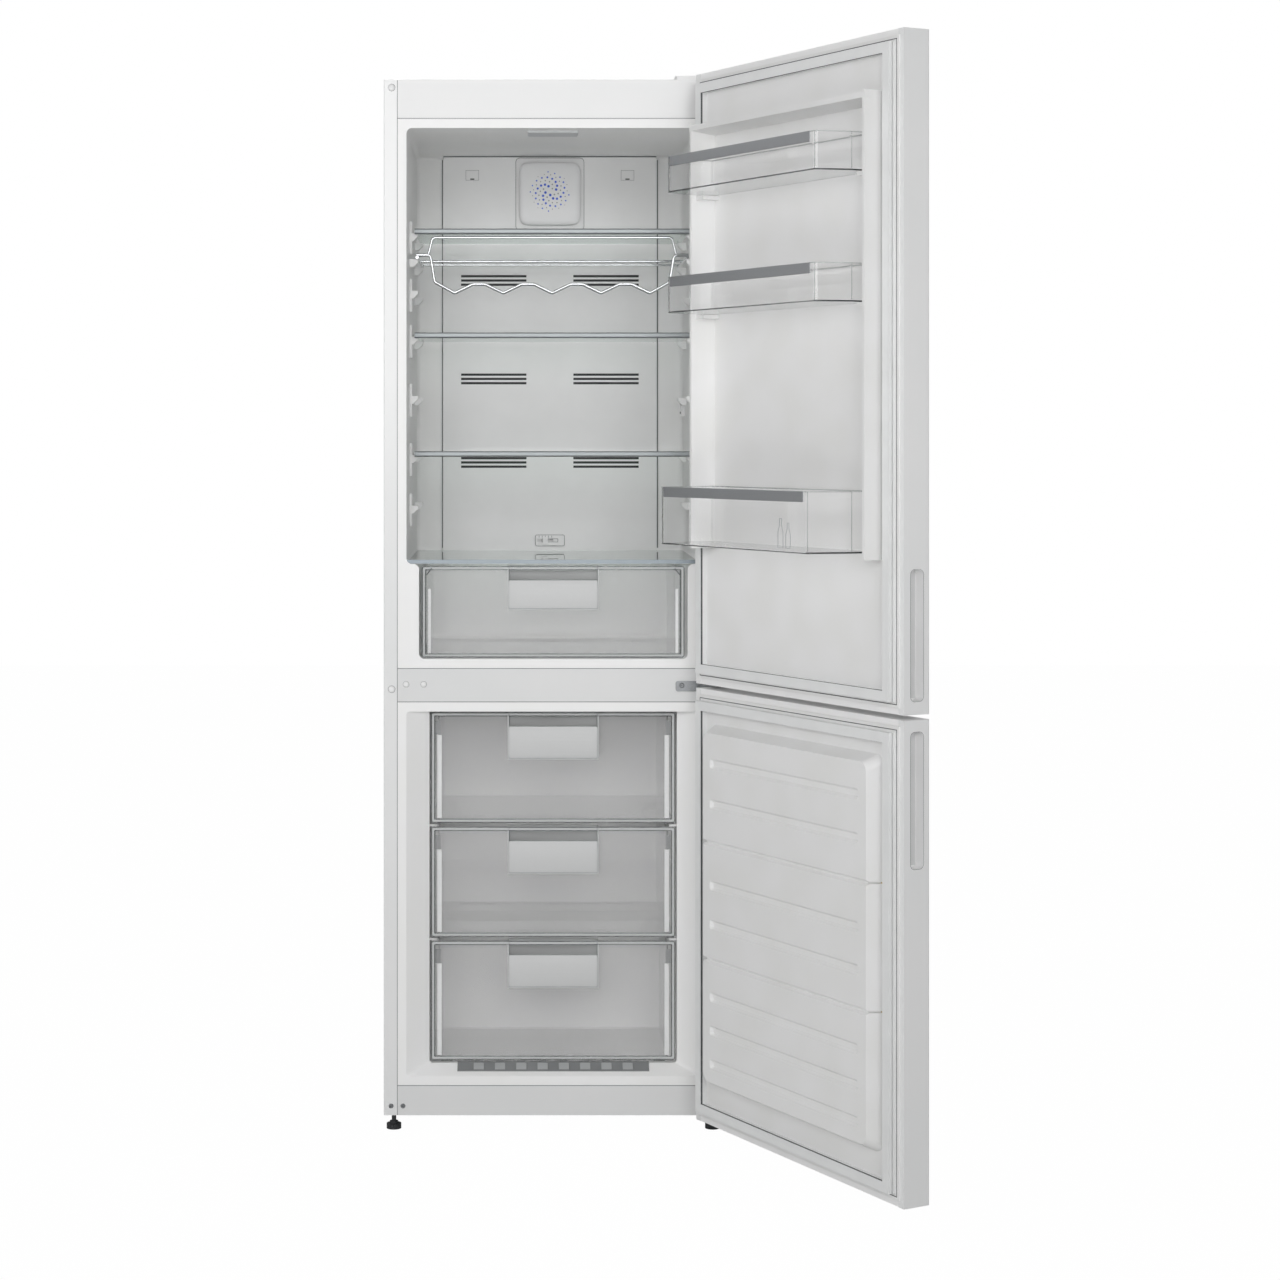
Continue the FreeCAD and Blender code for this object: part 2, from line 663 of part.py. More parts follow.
def fan_cover():
    """A pillow-shaped cover over the duct's outlet, open round its edge."""
    face = DUCT_FACE + 1.2
    pillow = rounded_plate(
        FAN_COVER_W, FAN_COVER_H, 0, FAN_COVER_Z, face - FAN_COVER_T, face - 3.0, 14.0
    )
    rim = [e for e in pillow.Edges if e.BoundBox.YMax < face - FAN_COVER_T + 0.01]
    pillow = pillow.makeFillet(7.0, rim)
    foot = rounded_plate(FAN_COVER_W - 30, FAN_COVER_H - 30, 0, FAN_COVER_Z, face - 3.0, face, 8.0)
    return joined([pillow, foot])


def damper_knob():
    """The slider: a finger tab in front of the guide and a tongue behind it."""
    front = DUCT_FACE - DAMPER_T
    tab = box(KNOB_X - KNOB_W / 2 - 2, KNOB_X + KNOB_W / 2 + 2, front - 4, front - SEAT,
              DAMPER_Z - 7, DAMPER_Z + 7)
    neck = box(KNOB_X - KNOB_W / 2, KNOB_X + KNOB_W / 2, front - SEAT, DUCT_FACE + DUCT_SHEET + SEAT,
               DAMPER_Z - 2.7, DAMPER_Z + 2.7)
    tongue = box(KNOB_X - KNOB_W / 2 - 2, KNOB_X + KNOB_W / 2 + 2, DUCT_FACE + DUCT_SHEET + SEAT,
                 DUCT_FACE + DUCT_SHEET + 3, DAMPER_Z - 7, DAMPER_Z + 7)
    return joined([tab, neck, tongue])


def ceiling_lamp():
    y = FRONT + LAMP_DEPTH
    lens = box(-LAMP_W / 2, LAMP_W / 2, y, y + LAMP_D, FRIDGE_Z1 - LAMP_T, FRIDGE_Z1)
    return lens.makeFillet(LAMP_T * 0.6, [e for e in lens.Edges if e.BoundBox.ZMax < FRIDGE_Z1 - 1])


def sensor_cover():
    """The temperature sensor's cover, moulded in the right wall near the back."""
    y = FRONT + INSIDE_DEPTH - SENSOR_FROM_BACK
    z = FRIDGE_Z0 + SENSOR_HEIGHT
    cover = box(OPEN_HALF - 8, OPEN_HALF, y, y + SENSOR_W, z, z + SENSOR_H)
    return cover.makeFillet(3.0, edges_along(cover, UP, lambda p: p.x < OPEN_HALF - 1))


def shelf_glass(top):
    return box(-SHELF_HALF, SHELF_HALF, FRONT + SHELF_FRONT + 2, SHELF_BACK, top - SHELF_GLASS, top)


def shelf_trim(top):
    """A strip that grips the front edge of the glass."""
    y = FRONT + SHELF_FRONT
    z0 = top - SHELF_GLASS / 2 - SHELF_TRIM_H / 2
    strip = box(-SHELF_HALF, SHELF_HALF, y, y + SHELF_TRIM_D, z0, z0 + SHELF_TRIM_H)
    nose = edges_along(strip, Vector(1, 0, 0), lambda p: p.y < y + 1)
    strip = strip.makeFillet(SHELF_TRIM_H * 0.3, nose)
    return strip.cut(shelf_glass(top))


def bottle_rack():
    """Chrome wire: two side rails, two waved front wires, a front stop wire and a rear bar."""
    r = RACK_WIRE_R
    z = RACK_Z
    front = FRONT + RACK_FRONT
    back = DUCT_FACE - RACK_REAR_GAP
    wires = []
    for side in (-1, 1):
        wires.append(rod(r, (side * RACK_HALF, front, z), (side * RACK_HALF, back, z)))
    z += 2 * r - RACK_WELD
    shoulder = RACK_HALF - RACK_SHOULDER
    leg = shoulder - RACK_LEG
    valley = z - RACK_VALLEY
    crest = z - RACK_CREST
    end = RACK_HALF + r - 1
    route = [(-end, z), (-shoulder, z), (-leg, crest + 4)]
    first = -(BOTTLES - 1) / 2 * BOTTLE_PITCH
    for i in range(BOTTLES):
        low_x = first + i * BOTTLE_PITCH
        route.append((low_x, valley))
        if i < BOTTLES - 1:
            high_x = low_x + BOTTLE_PITCH / 2
            route += [(high_x - RACK_FLAT, crest), (high_x + RACK_FLAT, crest)]
    route += [(leg, crest + 4), (shoulder, z), (end, z)]
    for y in (front, front + RACK_WAVE_GAP):
        wires.append(bent_tube([(x, y, h) for x, h in route], r, RACK_BEND))
    stop_z = SHELF_TOPS[-1] - SHELF_GLASS / 2 - SHELF_TRIM_H / 2 - r - 3
    stop_y = front + RACK_WAVE_GAP / 2
    stop = [(-end, z), (-shoulder - 4, z), (-shoulder + 4, stop_z), (shoulder - 4, stop_z)]
    stop += [(shoulder + 4, z), (end, z)]
    wires.append(bent_tube([(x, stop_y, h) for x, h in stop], r, RACK_BEND))
    for y in (FRONT + RACK_BAR, back - r):
        wires.append(rod(r, (-end, y, z), (end, y, z)))
    return joined(wires)


def crisper_lid():
    z = CRISPER_TOP + SEAT
    lid = box(-OPEN_HALF, OPEN_HALF, FRONT + LID_FRONT, DUCT_FACE - SEAT, z, z + LID_GLASS)
    return lid.common(fridge_space(-SEAT))


# ---------------------------------------------------------------- drawers
def pocket_space(front_y, top, height, grow=0.0):
    """The finger pocket behind a drawer's front: bowed in plan, tapering downwards."""
    half = HANDLE_W / 2 + grow
    side = front_y + POCKET_D * 0.55 + grow
    middle = front_y + POCKET_D + grow
    low = top - height - grow
    bow = Part.Arc(Vector(half, side, low), Vector(0, middle, low), Vector(-half, side, low)).toShape()
    corners = [Vector(-half, side, low), Vector(-half, front_y, low), Vector(half, front_y, low)]
    outline = [bow] + Part.makePolygon(corners + [Vector(half, side, low)]).Edges
    plan = Part.Face(Part.Wire(Part.__sortEdges__(outline))).extrude(Vector(0, 0, height + grow))
    taper = extruded_yz(
        [(front_y, top), (middle, top), (middle, top - height * 0.5),
         (front_y + POCKET_D * 0.45 + grow, low), (front_y, low)],
        -half, half,
    )
    return plan.common(taper)


def pocket_lip(front_y, top, height):
    """The bowed grip across the pocket's front, below its mouth."""
    half = HANDLE_W / 2
    high = top - POCKET_MOUTH
    low = top - height
    t = DRAWER_T
    start = Vector(-half, front_y, high)
    end = Vector(-half, front_y, low)
    bow = Part.Arc(start, Vector(-half, front_y - LIP_BOW, (high + low) / 2), end).toShape()
    back = [end, Vector(-half, front_y + t, low), Vector(-half, front_y + t, high), start]
    outline = Part.Wire([bow] + Part.makePolygon(back).Edges)
    return Part.Face(outline).extrude(Vector(2 * half, 0, 0))


def drawer(half, z0, z1, front_y, back_y, handle_h, rear_cut, body_in):
    """An open-topped clear drawer: framed front with a finger pocket, and a box behind it."""
    t = DRAWER_T
    frame = DRAWER_FRAME
    plate = rounded_plate(2 * half, z1 - z0, 0, (z0 + z1) / 2, front_y, front_y + 2 * t, 5.0)
    panel = box(-half + frame, half - frame, front_y - 1, front_y + t, z0 + frame, z1 - frame)
    front = plate.cut(panel)
    body_half = half - body_in
    body_z0 = z0 + SEAT
    body_z1 = z1 - 6
    body = box(-body_half, body_half, front_y + t, back_y, body_z0, body_z1)
    inside = box(-body_half + t, body_half - t, front_y + 2 * t, back_y - t, body_z0 + t, body_z1 + 1)
    body = body.cut(inside)
    notch_half = body_half - 24
    slope = rear_cut * 0.8
    notch = [(-notch_half, body_z1 + 1), (notch_half, body_z1 + 1)]
    notch += [(notch_half - slope, body_z1 - rear_cut), (-notch_half + slope, body_z1 - rear_cut)]
    outline = [Vector(x, back_y - t - 1, z) for x, z in notch]
    cut = Part.Face(Part.makePolygon(outline + outline[:1])).extrude(Vector(0, t + 2, 0))
    pocket = pocket_space(front_y, z1, handle_h, t).common(box(-HALF, HALF, front_y, back_y, z0, z1))
    hollow = pocket_space(front_y - 1, z1 + 1, handle_h + 1)
    cup = joined([front, body.cut(cut), pocket]).cut(hollow)
    return joined([cup, pocket_lip(front_y, z1, handle_h)])


def crisper_drawer():
    half = CRISPER_HALF - DRAWER_GAP
    z0 = FRIDGE_Z0 + SEAT
    front_y = FRONT + CRISPER_FRONT
    z1 = CRISPER_TOP - CRISPER_TOP_GAP
    return drawer(half, z0, z1, front_y, DUCT_FACE - CRISPER_REAR_GAP, CRISPER_HANDLE, 18.0, 6.0)


def freezer_fronts():
    """Lower and upper edges of the freezer drawers' fronts, from the bottom up."""
    fronts = []
    z = FREEZER_FLOOR + FREEZER_DRAWER_LIFT
    for height in FREEZER_DRAWER_HEIGHTS:
        fronts.append((z, z + height))
        z += height + FREEZER_DRAWER_STEP
    fronts.append((z, FREEZER_Z1 - FREEZER_TOP_GAP))
    return fronts


def freezer_drawer(index):
    z0, z1 = freezer_fronts()[index]
    half = FREEZER_HALF - FREEZER_FRONT_GAP
    back = STEP_Y - 4 if index == 0 else COVER_FACE - 12
    front_y = FRONT + FREEZER_DRAWER_FRONT
    box_part = drawer(half, z0, z1, front_y, back, FREEZER_HANDLE, 22.0, 13.0)
    runners = []
    if index == 0:
        for side in (-1, 1):
            x0, x1 = sorted((side * (half - 38), side * (half - 18)))
            runners.append(box(x0, x1, front_y + 10, back - 10, FREEZER_FLOOR + SEAT, z0 + 1))
    else:
        ledge_top = z0 - FREEZER_DRAWER_STEP / 2
        for side in (-1, 1):
            x0, x1 = sorted((side * (half - 15), side * (half - 1.5)))
            runners.append(box(x0, x1, front_y + 10, back - 10, ledge_top + SEAT, ledge_top + SEAT + 3))
            x0, x1 = sorted((side * (half - 15.5), side * (half - 12)))
            runners.append(box(x0, x1, front_y + 4, back - 10, ledge_top + SEAT, z0 + 8))
    return joined([box_part] + runners)


def lower_air_grille():
    """A toothed strip lying on the mouth's slope and the freezer's floor, under the lowest drawer."""
    slope_y = FRONT + MOUTH_D
    y0 = FRONT + GRILLE_FRONT
    y1 = FRONT + FREEZER_DRAWER_FRONT + 1.0
    z0 = FREEZER_FLOOR
    low = FREEZER_Z0 + MOUTH_UP * GRILLE_FRONT / MOUTH_D
    half = FREEZER_HALF - GRILLE_IN
    t = GRILLE_T
    plate = extruded_yz([(y0, low), (slope_y, z0), (y1, z0), (y1, z0 + t), (slope_y, z0 + t), (y0, low + t)],
                        -half, half)
    pitch = 2 * half / 9
    ridge = t + 1.2
    teeth = []
    for i in range(8):
        x = -half + pitch * (i + 1)
        outline = [(y0 + 1, low + t), (slope_y, z0 + t), (y1, z0 + t), (y1, z0 + ridge), (slope_y, z0 + ridge),
                   (y0 + 1, low + ridge)]
        teeth.append(extruded_yz(outline, x - 7, x + 7))
    return joined([plate] + teeth)


# ---------------------------------------------------------------- freezer machinery
def evaporator_cover():
    """The upright cover in front of the evaporator, with the fan's outlet and return slots."""
    y = COVER_FACE
    half = FREEZER_HALF - 1
    z0 = STEP_Z + 1
    z1 = FREEZER_Z1 - 1
    plate = box(-half, half, y, y + COVER_T, z0, z1)
    fan_z = z1 - FAN_D / 2 - 14
    cuts = []
    for step in range(-4, 5):
        reach = math.sqrt(max((FAN_D / 2) ** 2 - (step * 9.5) ** 2, 100.0))
        cuts.append(box(-reach, reach, y - 1, y + COVER_T + 1, fan_z + step * 9.5 - 2.5, fan_z + step * 9.5 + 2.5))
    for i in range(9):
        x = -160 + i * 40
        cuts.append(box(x - 14, x + 14, y - 1, y + COVER_T + 1, z0 + 12, z0 + 18))
    lip = box(-half, half, y + COVER_T, y + COVER_T + 10, z1 - 2, z1)
    return joined([plate.cut(cuts), lip]).common(freezer_space(-SEAT))


def evaporator():
    """Fins on five double rows of aluminium tube, between two end plates."""
    y0 = COVER_FACE + COVER_T + 6
    y1 = FRONT + INSIDE_DEPTH - 8
    z0 = STEP_Z + EVAPORATOR_LIFT
    z1 = z0 + EVAPORATOR_H
    half = FREEZER_HALF - EVAPORATOR_IN
    pieces = []
    spacing = 2 * half / (EVAPORATOR_FINS - 1)
    for i in range(EVAPORATOR_FINS):
        x = -half + i * spacing
        pieces.append(box(x - FIN_T / 2, x + FIN_T / 2, y0 + 12, y1, z0, z1))
    end = half + FIN_END_GAP
    pitch = EVAPORATOR_H / COIL_ROWS
    for row in range(COIL_ROWS):
        z = z0 + (row + 0.5) * pitch
        for y in (y0 + 30, y1 - 18):
            pieces.append(rod(4.0, (-end, y, z), (end, y, z)))
    end_plates = [
        box(-end - END_PLATE_T, -end, y0 + 8, y1, STEP_Z + SEAT, z1 + 4),
        box(end, end + END_PLATE_T, y0 + 8, y1, STEP_Z + SEAT, z1 + 4),
    ]
    return group([joined(pieces + end_plates), defrost_heater()])


def fan_centre():
    return FREEZER_Z1 - 1 - FAN_D / 2 - 14


def evaporator_fan():
    """An axial fan: hub, twisted blades and shaft bore."""
    y = COVER_FACE + COVER_T + 8
    z = fan_centre()
    hub = rod(14.0, (0, y, z), (0, y + 16, z))
    blades = []
    for i in range(FAN_BLADES):
        blade = box(9, FAN_D / 2 - 4, y + 7, y + 9, z - 9, z + 9)
        blade.rotate(Vector(0, y + 8, z), Vector(1, 0, 0), 32)
        blade.rotate(Vector(0, y + 8, z), Vector(0, 1, 0), i * 360 / FAN_BLADES)
        blades.append(blade)
    bore = rod(3.0 + RUNNING, (0, y + 4, z), (0, y + 17, z))
    return joined([hub] + blades).cut(bore)


def fan_motor():
    """The motor on its bracket, with the shaft that carries the fan."""
    y = COVER_FACE + COVER_T + 8
    z = fan_centre()
    wall = FRONT + INSIDE_DEPTH
    can = rod(19.0, (0, y + 16 + 2, z), (0, wall - 3, z))
    shaft = rod(3.0, (0, y + 5, z), (0, y + 20, z))
    bracket = box(-60, 60, wall - 3, wall, z - 12, z + 12)
    return joined([can, shaft, bracket])


def defrost_heater():
    """A bent heater rod under the evaporator's fins, held by the left end plate."""
    y = COVER_FACE + COVER_T + 12
    z = STEP_Z + EVAPORATOR_LIFT / 2 - 0.5
    half = FREEZER_HALF - EVAPORATOR_IN - 4
    start = -(FREEZER_HALF - EVAPORATOR_IN + FIN_END_GAP)
    back = y + HEATER_PITCH
    route = [(start, y, z), (half, y, z), (half, back, z), (start, back, z)]
    return bent_tube(route, HEATER_R, 3 * HEATER_R)


# ---------------------------------------------------------------- machine bay
def compressor():
    """A welded steel shell on four feet, with its relay box and stub tubes."""
    x = COMPRESSOR_X
    y = BAY_FRONT + BAY_D / 2
    floor = UNDERSIDE + SHEET
    z0 = floor + 8
    r = COMPRESSOR_D / 2
    shell = Part.makeCylinder(r, COMPRESSOR_H - 8, Vector(x, y, z0), UP)
    ends = [e for e in shell.Edges if e.Curve.TypeId == "Part::GeomCircle"]
    shell = shell.makeFillet(r * 0.42, ends)
    seam = Part.makeCylinder(r + 3, 3, Vector(x, y, z0 + COMPRESSOR_H * 0.5), UP)
    feet = [box(x - r - 14, x + r + 14, y - r + 4 + side, y - r + 24 + side, z0 - 2, z0 + 1)
            for side in (0, COMPRESSOR_D - 28)]
    mid = box(x - 30, x + 30, y - r + 4, y + r - 4, z0 - 2, z0 + 12)
    posts = []
    for dx in (-r - 6, r + 6):
        for dy in (-r + 14, r - 14):
            posts.append(rod(7.0, (x + dx, y + dy, floor), (x + dx, y + dy, z0 - 2)))
    relay = box(x + r - 12, x + r + 30, y - 28, y + 28, z0 + 45, z0 + 105)
    relay = relay.makeFillet(5.0, edges_along(relay, Vector(1, 0, 0)))
    stubs = [rod(3.5, (x - 20 * i - 20, y - r - 16, z0 + 66), (x - 20 * i - 20, y - r + 30, z0 + 66))
             for i in range(2)]
    return joined([shell, seam, mid, relay] + feet + posts + stubs)


def drip_tray():
    """The tray that the defrost water runs into, beside the compressor."""
    floor = UNDERSIDE + SHEET
    t = TRAY_T
    x0 = -HALF + TRAY_IN
    x1 = x0 + TRAY_W
    y0 = BAY_FRONT + TRAY_FRONT_GAP
    y1 = BACK - TRAY_REAR_GAP
    tray = box(x0, x1, y0, y1, floor, floor + TRAY_H)
    tray = tray.makeFillet(10.0, edges_along(tray, UP))
    inside = box(x0 + t, x1 - t, y0 + t, y1 - t, floor + t, floor + TRAY_H + 1)
    return tray.cut(inside.makeFillet(8.0, edges_along(inside, UP)))


def condenser(grow=0.0):
    """A serpentine of steel tube against the inside of the left-hand side sheet."""
    x = -HALF + SHEET + COIL_R
    z0 = BAY_TOP + COIL_MARGIN
    z1 = CABINET_TOP - COIL_MARGIN
    y_first = FRONT + COIL_MARGIN
    pitch = (BACK - COIL_MARGIN - y_first) / (COIL_PASSES - 1)
    route = []
    for i in range(COIL_PASSES):
        y = y_first + i * pitch
        ends = (z0, z1) if i % 2 == 0 else (z1, z0)
        route += [(x, y, ends[0]), (x, y, ends[1])]
    tail = route[-1][1]
    route[-1] = (x, tail, BAY_TOP - COIL_MARGIN)
    return bent_tube(route, COIL_R + grow, pitch * 0.3)


def cord_inlet():
    """The strain relief on the machine bay's right edge where the supply lead would leave."""
    y = BACK - 2 * SHEET - 34
    gland = rod(9.0, (HALF - SHEET - 26, y, BAY_TOP - SHEET - 40), (HALF - SHEET, y, BAY_TOP - SHEET - 40))
    bore = rod(4.0, (HALF - SHEET - 27, y, BAY_TOP - SHEET - 40), (HALF - SHEET - 8, y, BAY_TOP - SHEET - 40))
    return gland.cut(bore)


# ---------------------------------------------------------------- feet and rollers
def levelling_foot(side):
    """A knurled disc on a threaded stud."""
    x = side * FOOT_X
    y = FRONT + FOOT_DEPTH
    disc = rod(FOOT_R, (x, y, 0), (x, y, FOOT_DISC_H))
    notches = []
    for i in range(16):
        angle = i * math.pi / 8
        nx = x + FOOT_R * math.cos(angle)
        ny = y + FOOT_R * math.sin(angle)
        notches.append(rod(1.0, (nx, ny, 1.5), (nx, ny, FOOT_DISC_H + 1)))
    hub = rod(7.5, (x, y, FOOT_DISC_H), (x, y, FOOT_DISC_H + 4))
    stud = rod(STUD_R, (x, y, FOOT_DISC_H), (x, y, UNDERSIDE + 24))
    return joined([disc.cut(notches), hub, stud])


def rear_roller(side):
    """A moulded roller with stub axles in the base plate's ears."""
    x = side * ROLLER_X
    y = BACK - ROLLER_FROM_BACK
    wheel = rod(ROLLER_R, (x - ROLLER_W / 2, y, ROLLER_R), (x + ROLLER_W / 2, y, ROLLER_R))
    stub = ROLLER_W / 2 + 2.3
    axle = rod(ROLLER_AXLE_R, (x - stub, y, ROLLER_R), (x + stub, y, ROLLER_R))
    return joined([wheel, axle])


# ---------------------------------------------------------------- hinges
def hinge_arm(z0, length_in):
    """A flat arm from over the cabinet out to the hinge axis."""
    y1 = FRONT + length_in
    arm = box(HINGE_X - HINGE_ARM_W / 2, HINGE_X + HINGE_ARM_W / 2, HINGE_Y, y1, z0, z0 + PLATE_T)
    nose = rod(HINGE_ARM_W / 2, (HINGE_X, HINGE_Y, z0), (HINGE_X, HINGE_Y, z0 + PLATE_T))
    return joined([arm, nose])


def top_hinge():
    z = CABINET_TOP
    foot = box(HALF - TOP_PLATE_L, HALF - 1, FRONT + 6, FRONT + 42, z, z + PLATE_T)
    pin = rod(PIN_R, (HINGE_X, HINGE_Y, z - PIN_LENGTH), (HINGE_X, HINGE_Y, z + 1))
    return joined([foot, hinge_arm(z, 20.0), pin])


def top_hinge_cover():
    """A moulded cap over the top hinge, open underneath."""
    z = CABINET_TOP
    outer = box(HALF - TOP_PLATE_L - 4, HALF - 0.5, FRONT + 2, FRONT + 50, z, z + COVER_H)
    nose = box(HINGE_X - HINGE_ARM_W / 2 - 1, HALF - 0.5, HINGE_Y - 2, FRONT + 2, z + SEAT, z + COVER_H)
    outer = joined([outer, nose])
    corners = edges_along(outer, UP, lambda p: p.y < HINGE_Y or p.x < HALF - TOP_PLATE_L)
    outer = outer.makeFillet(6.0, corners)
    inner_z = z + PLATE_T + SCREW_H + 0.2
    hollow = box(HALF - TOP_PLATE_L - 2.5, HALF - 0.8, FRONT + 3.5, FRONT + 48.5, z - 1, inner_z)
    channel = box(HINGE_X - HINGE_ARM_W / 2 - 0.2, HALF + 1, HINGE_Y - HINGE_ARM_W, FRONT + 4, z - 1, z + PLATE_T)
    return outer.cut([hollow, channel])


def middle_hinge():
    """A screwed plate on the middle rail, folded forward between the doors, with two pins."""
    gap_z = FREEZER_DOOR_TOP + (DOORS_APART - PLATE_T) / 2
    leg_top = gap_z + PLATE_T
    x0 = HALF - 2 - MID_PLATE_L
    leg = box(x0, HALF - 2, FRONT - PLATE_T, FRONT, leg_top - MID_PLATE_H, leg_top)
    leg = leg.makeFillet(4.0, edges_along(leg, Vector(0, 1, 0), lambda p: p.x < x0 + 1))
    arm = hinge_arm(gap_z, 0.0)
    up_pin = rod(PIN_R, (HINGE_X, HINGE_Y, gap_z), (HINGE_X, HINGE_Y, FRIDGE_DOOR_BOTTOM + PIN_LENGTH))
    low = FREEZER_DOOR_TOP - PIN_LENGTH
    down_pin = rod(PIN_R, (HINGE_X, HINGE_Y, low), (HINGE_X, HINGE_Y, gap_z + PLATE_T))
    return joined([leg, arm, up_pin, down_pin])


def bottom_hinge():
    """A stepped plate let into the base, reaching forward to the freezer door's lower pin."""
    z = UNDERSIDE - PLATE_T
    foot_y = FRONT + FOOT_DEPTH
    x1 = HALF - SHEET - 2 * SEAT
    plate = box(x1 - HINGE_FOOT_W, x1, FRONT + RAIL_LIP + 2 * SEAT, FRONT + HINGE_FOOT_D, z, z + 2 * PLATE_T)
    plate = joined([plate, hinge_arm(z, RAIL_LIP + 2)])
    collar = rod(8.0, (HINGE_X, HINGE_Y, z), (HINGE_X, HINGE_Y, FREEZER_DOOR_BOTTOM - 0.5))
    pin = rod(PIN_R, (HINGE_X, HINGE_Y, z), (HINGE_X, HINGE_Y, FREEZER_DOOR_BOTTOM + PIN_LENGTH))
    stud_hole = rod(STUD_R + RUNNING, (FOOT_X, foot_y, z - 1), (FOOT_X, foot_y, z + 2 * PLATE_T + 1))
    return joined([plate, collar, pin]).cut(stud_hole)


def domed_screw(x, y, z, axis, radius, height):
    """A low domed head standing on the point, facing along the axis."""
    head = Part.makeCylinder(radius, height, Vector(x, y, z), axis)
    tip = Vector(x, y, z) + axis * height
    rim = [e for e in head.Edges if e.Curve.TypeId == "Part::GeomCircle"
           and (e.CenterOfMass - tip).Length < 0.01]
    return head.makeFillet(height * 0.7, rim)


def hinge_screws():
    forward = Vector(0, -1, 0)
    mid_z = FREEZER_DOOR_TOP + (DOORS_APART + PLATE_T) / 2 - MID_PLATE_H / 2
    screws = []
    for x in (HALF - 2 - MID_PLATE_L + 11, HALF - 2 - MID_PLATE_L + 41):
        screws.append(domed_screw(x, FRONT - PLATE_T, mid_z, forward, 4.0, SCREW_H))
    for x in (HALF - TOP_PLATE_L + 14, HALF - TOP_PLATE_L + 40):
        screws.append(domed_screw(x, FRONT + 26, CABINET_TOP + PLATE_T, UP, 4.5, SCREW_H))
    for x in (HALF - 50, HALF - 30):
        screws.append(domed_screw(x, FRONT + 70, UNDERSIDE - PLATE_T, Vector(0, 0, -1), 4.5, SCREW_H))
    corner_z = UNDERSIDE + 16.5
    for x in (-HALF + 13, -RAIL_HALF + 10):
        screws.append(domed_screw(x, FRONT, corner_z, forward, SCREW_R, SCREW_H))
    return group(screws)


def plug_caps():
    """Caps over the unused hinge holes on the left."""
    forward = Vector(0, -1, 0)
    mid_z = (MID_RAIL_Z0 + MID_RAIL_Z1) / 2
    caps = []
    for z in (CABINET_TOP - 14, mid_z - 7):
        caps.append(domed_screw(-HALF + 14, FRONT, z, forward, PLUG_R, SCREW_H))
    for x in (-RAIL_HALF + 15.5, -RAIL_HALF + 46.5):
        caps.append(domed_screw(x, FRONT, mid_z + 1.5, forward, PLUG_R - 1, SCREW_H))
    return group(caps)


# ---------------------------------------------------------------- doors
def door_block(z0, z1, inset=0.0):
    """The door's full outline, closed, with its front edges rounded."""
    half = DOOR_HALF - inset
    block = box(-half, half, DOOR_OUTER + inset, DOOR_INNER, z0, z1)
    edges = edges_along(block, UP, lambda p: p.y < DOOR_OUTER + inset + 1)
    return block.makeFillet(DOOR_EDGE_R - inset, edges)


def grip_recess(grip, grow=0.0):
    """The finger space in the door's free end."""
    y = (DOOR_OUTER + DOOR_INNER) / 2
    w = GRIP_W / 2 + grow
    x = -DOOR_HALF
    space = box(x - 1, x + GRIP_DEPTH + grow, y - w, y + w, grip[0] - grow, grip[1] + grow)
    edges = edges_along(space, Vector(1, 0, 0))
    return space.makeFillet(8.0 + grow, edges)


def pin_wells(z0, z1):
    """Bush bores at the top and bottom of a door."""
    r = PIN_R + RUNNING
    deep = PIN_LENGTH + 1
    return [
        rod(r, (HINGE_X, HINGE_Y, z0 - 1), (HINGE_X, HINGE_Y, z0 + deep)),
        rod(r, (HINGE_X, HINGE_Y, z1 - deep), (HINGE_X, HINGE_Y, z1 + 1)),
    ]


def bushes(z0, z1):
    """Bosses under the end caps that hold the hinge pins."""
    deep = PIN_LENGTH + 4
    reach = door_inside(z0, z1)
    low = rod(BUSH_R, (HINGE_X, HINGE_Y, z0), (HINGE_X, HINGE_Y, z0 + deep))
    high = rod(BUSH_R, (HINGE_X, HINGE_Y, z1 - deep), (HINGE_X, HINGE_Y, z1))
    return [low.common(reach), high.common(reach)]


def door_inside(z0, z1):
    """The space within the door's folded sheet."""
    return door_block(z0, z1, SHEET).common(box(-HALF, HALF, DOOR_OUTER, DOOR_INNER - SHEET, z0, z1))


def door_skin(z0, z1, grip):
    """The folded outer sheet: front, both sides and lips on the inner face."""
    inner = door_inside(z0 - 1, z1 + 1)
    mouth = box(-DOOR_HALF + DOOR_LIP, DOOR_HALF - DOOR_LIP, DOOR_INNER - 2 * SHEET, DOOR_INNER + 1, z0 - 1, z1 + 1)
    return door_block(z0, z1).cut([inner, mouth, grip_recess(grip, GRIP_T)])


def door_caps(z0, z1, grip):
    """Moulded top and bottom ends with their hinge bushes, and the grip's tub."""
    low_bush, high_bush = bushes(z0, z1)
    low = joined([door_inside(z0, z0 + CAP_T), low_bush])
    high = joined([door_inside(z1 - CAP_T, z1), high_bush])
    wells = pin_wells(z0, z1)
    shell = box(-DOOR_HALF, DOOR_HALF, DOOR_OUTER, DOOR_INNER, z0, z1)
    tub = grip_recess(grip, GRIP_T).common(shell).cut(grip_recess(grip))
    return group([low.cut(wells), high.cut(wells), tub])


def door_base(z0, z1):
    """The flat sheet of a door liner, from the inner face outwards."""
    edge = LINER_IN
    return box(-DOOR_HALF + edge, DOOR_HALF - edge, DOOR_INNER, DOOR_INNER + LINER_T, z0 + edge, z1 - edge)


def bar_profile(x_out, x_in, height, slope):
    """Outline, in plan, of an upright rib standing on the door's inner face."""
    y = DOOR_INNER
    return [(x_out, y), (x_out + slope * 0.25, y + height), (x_in - slope * 0.5, y + height), (x_in + slope, y)]


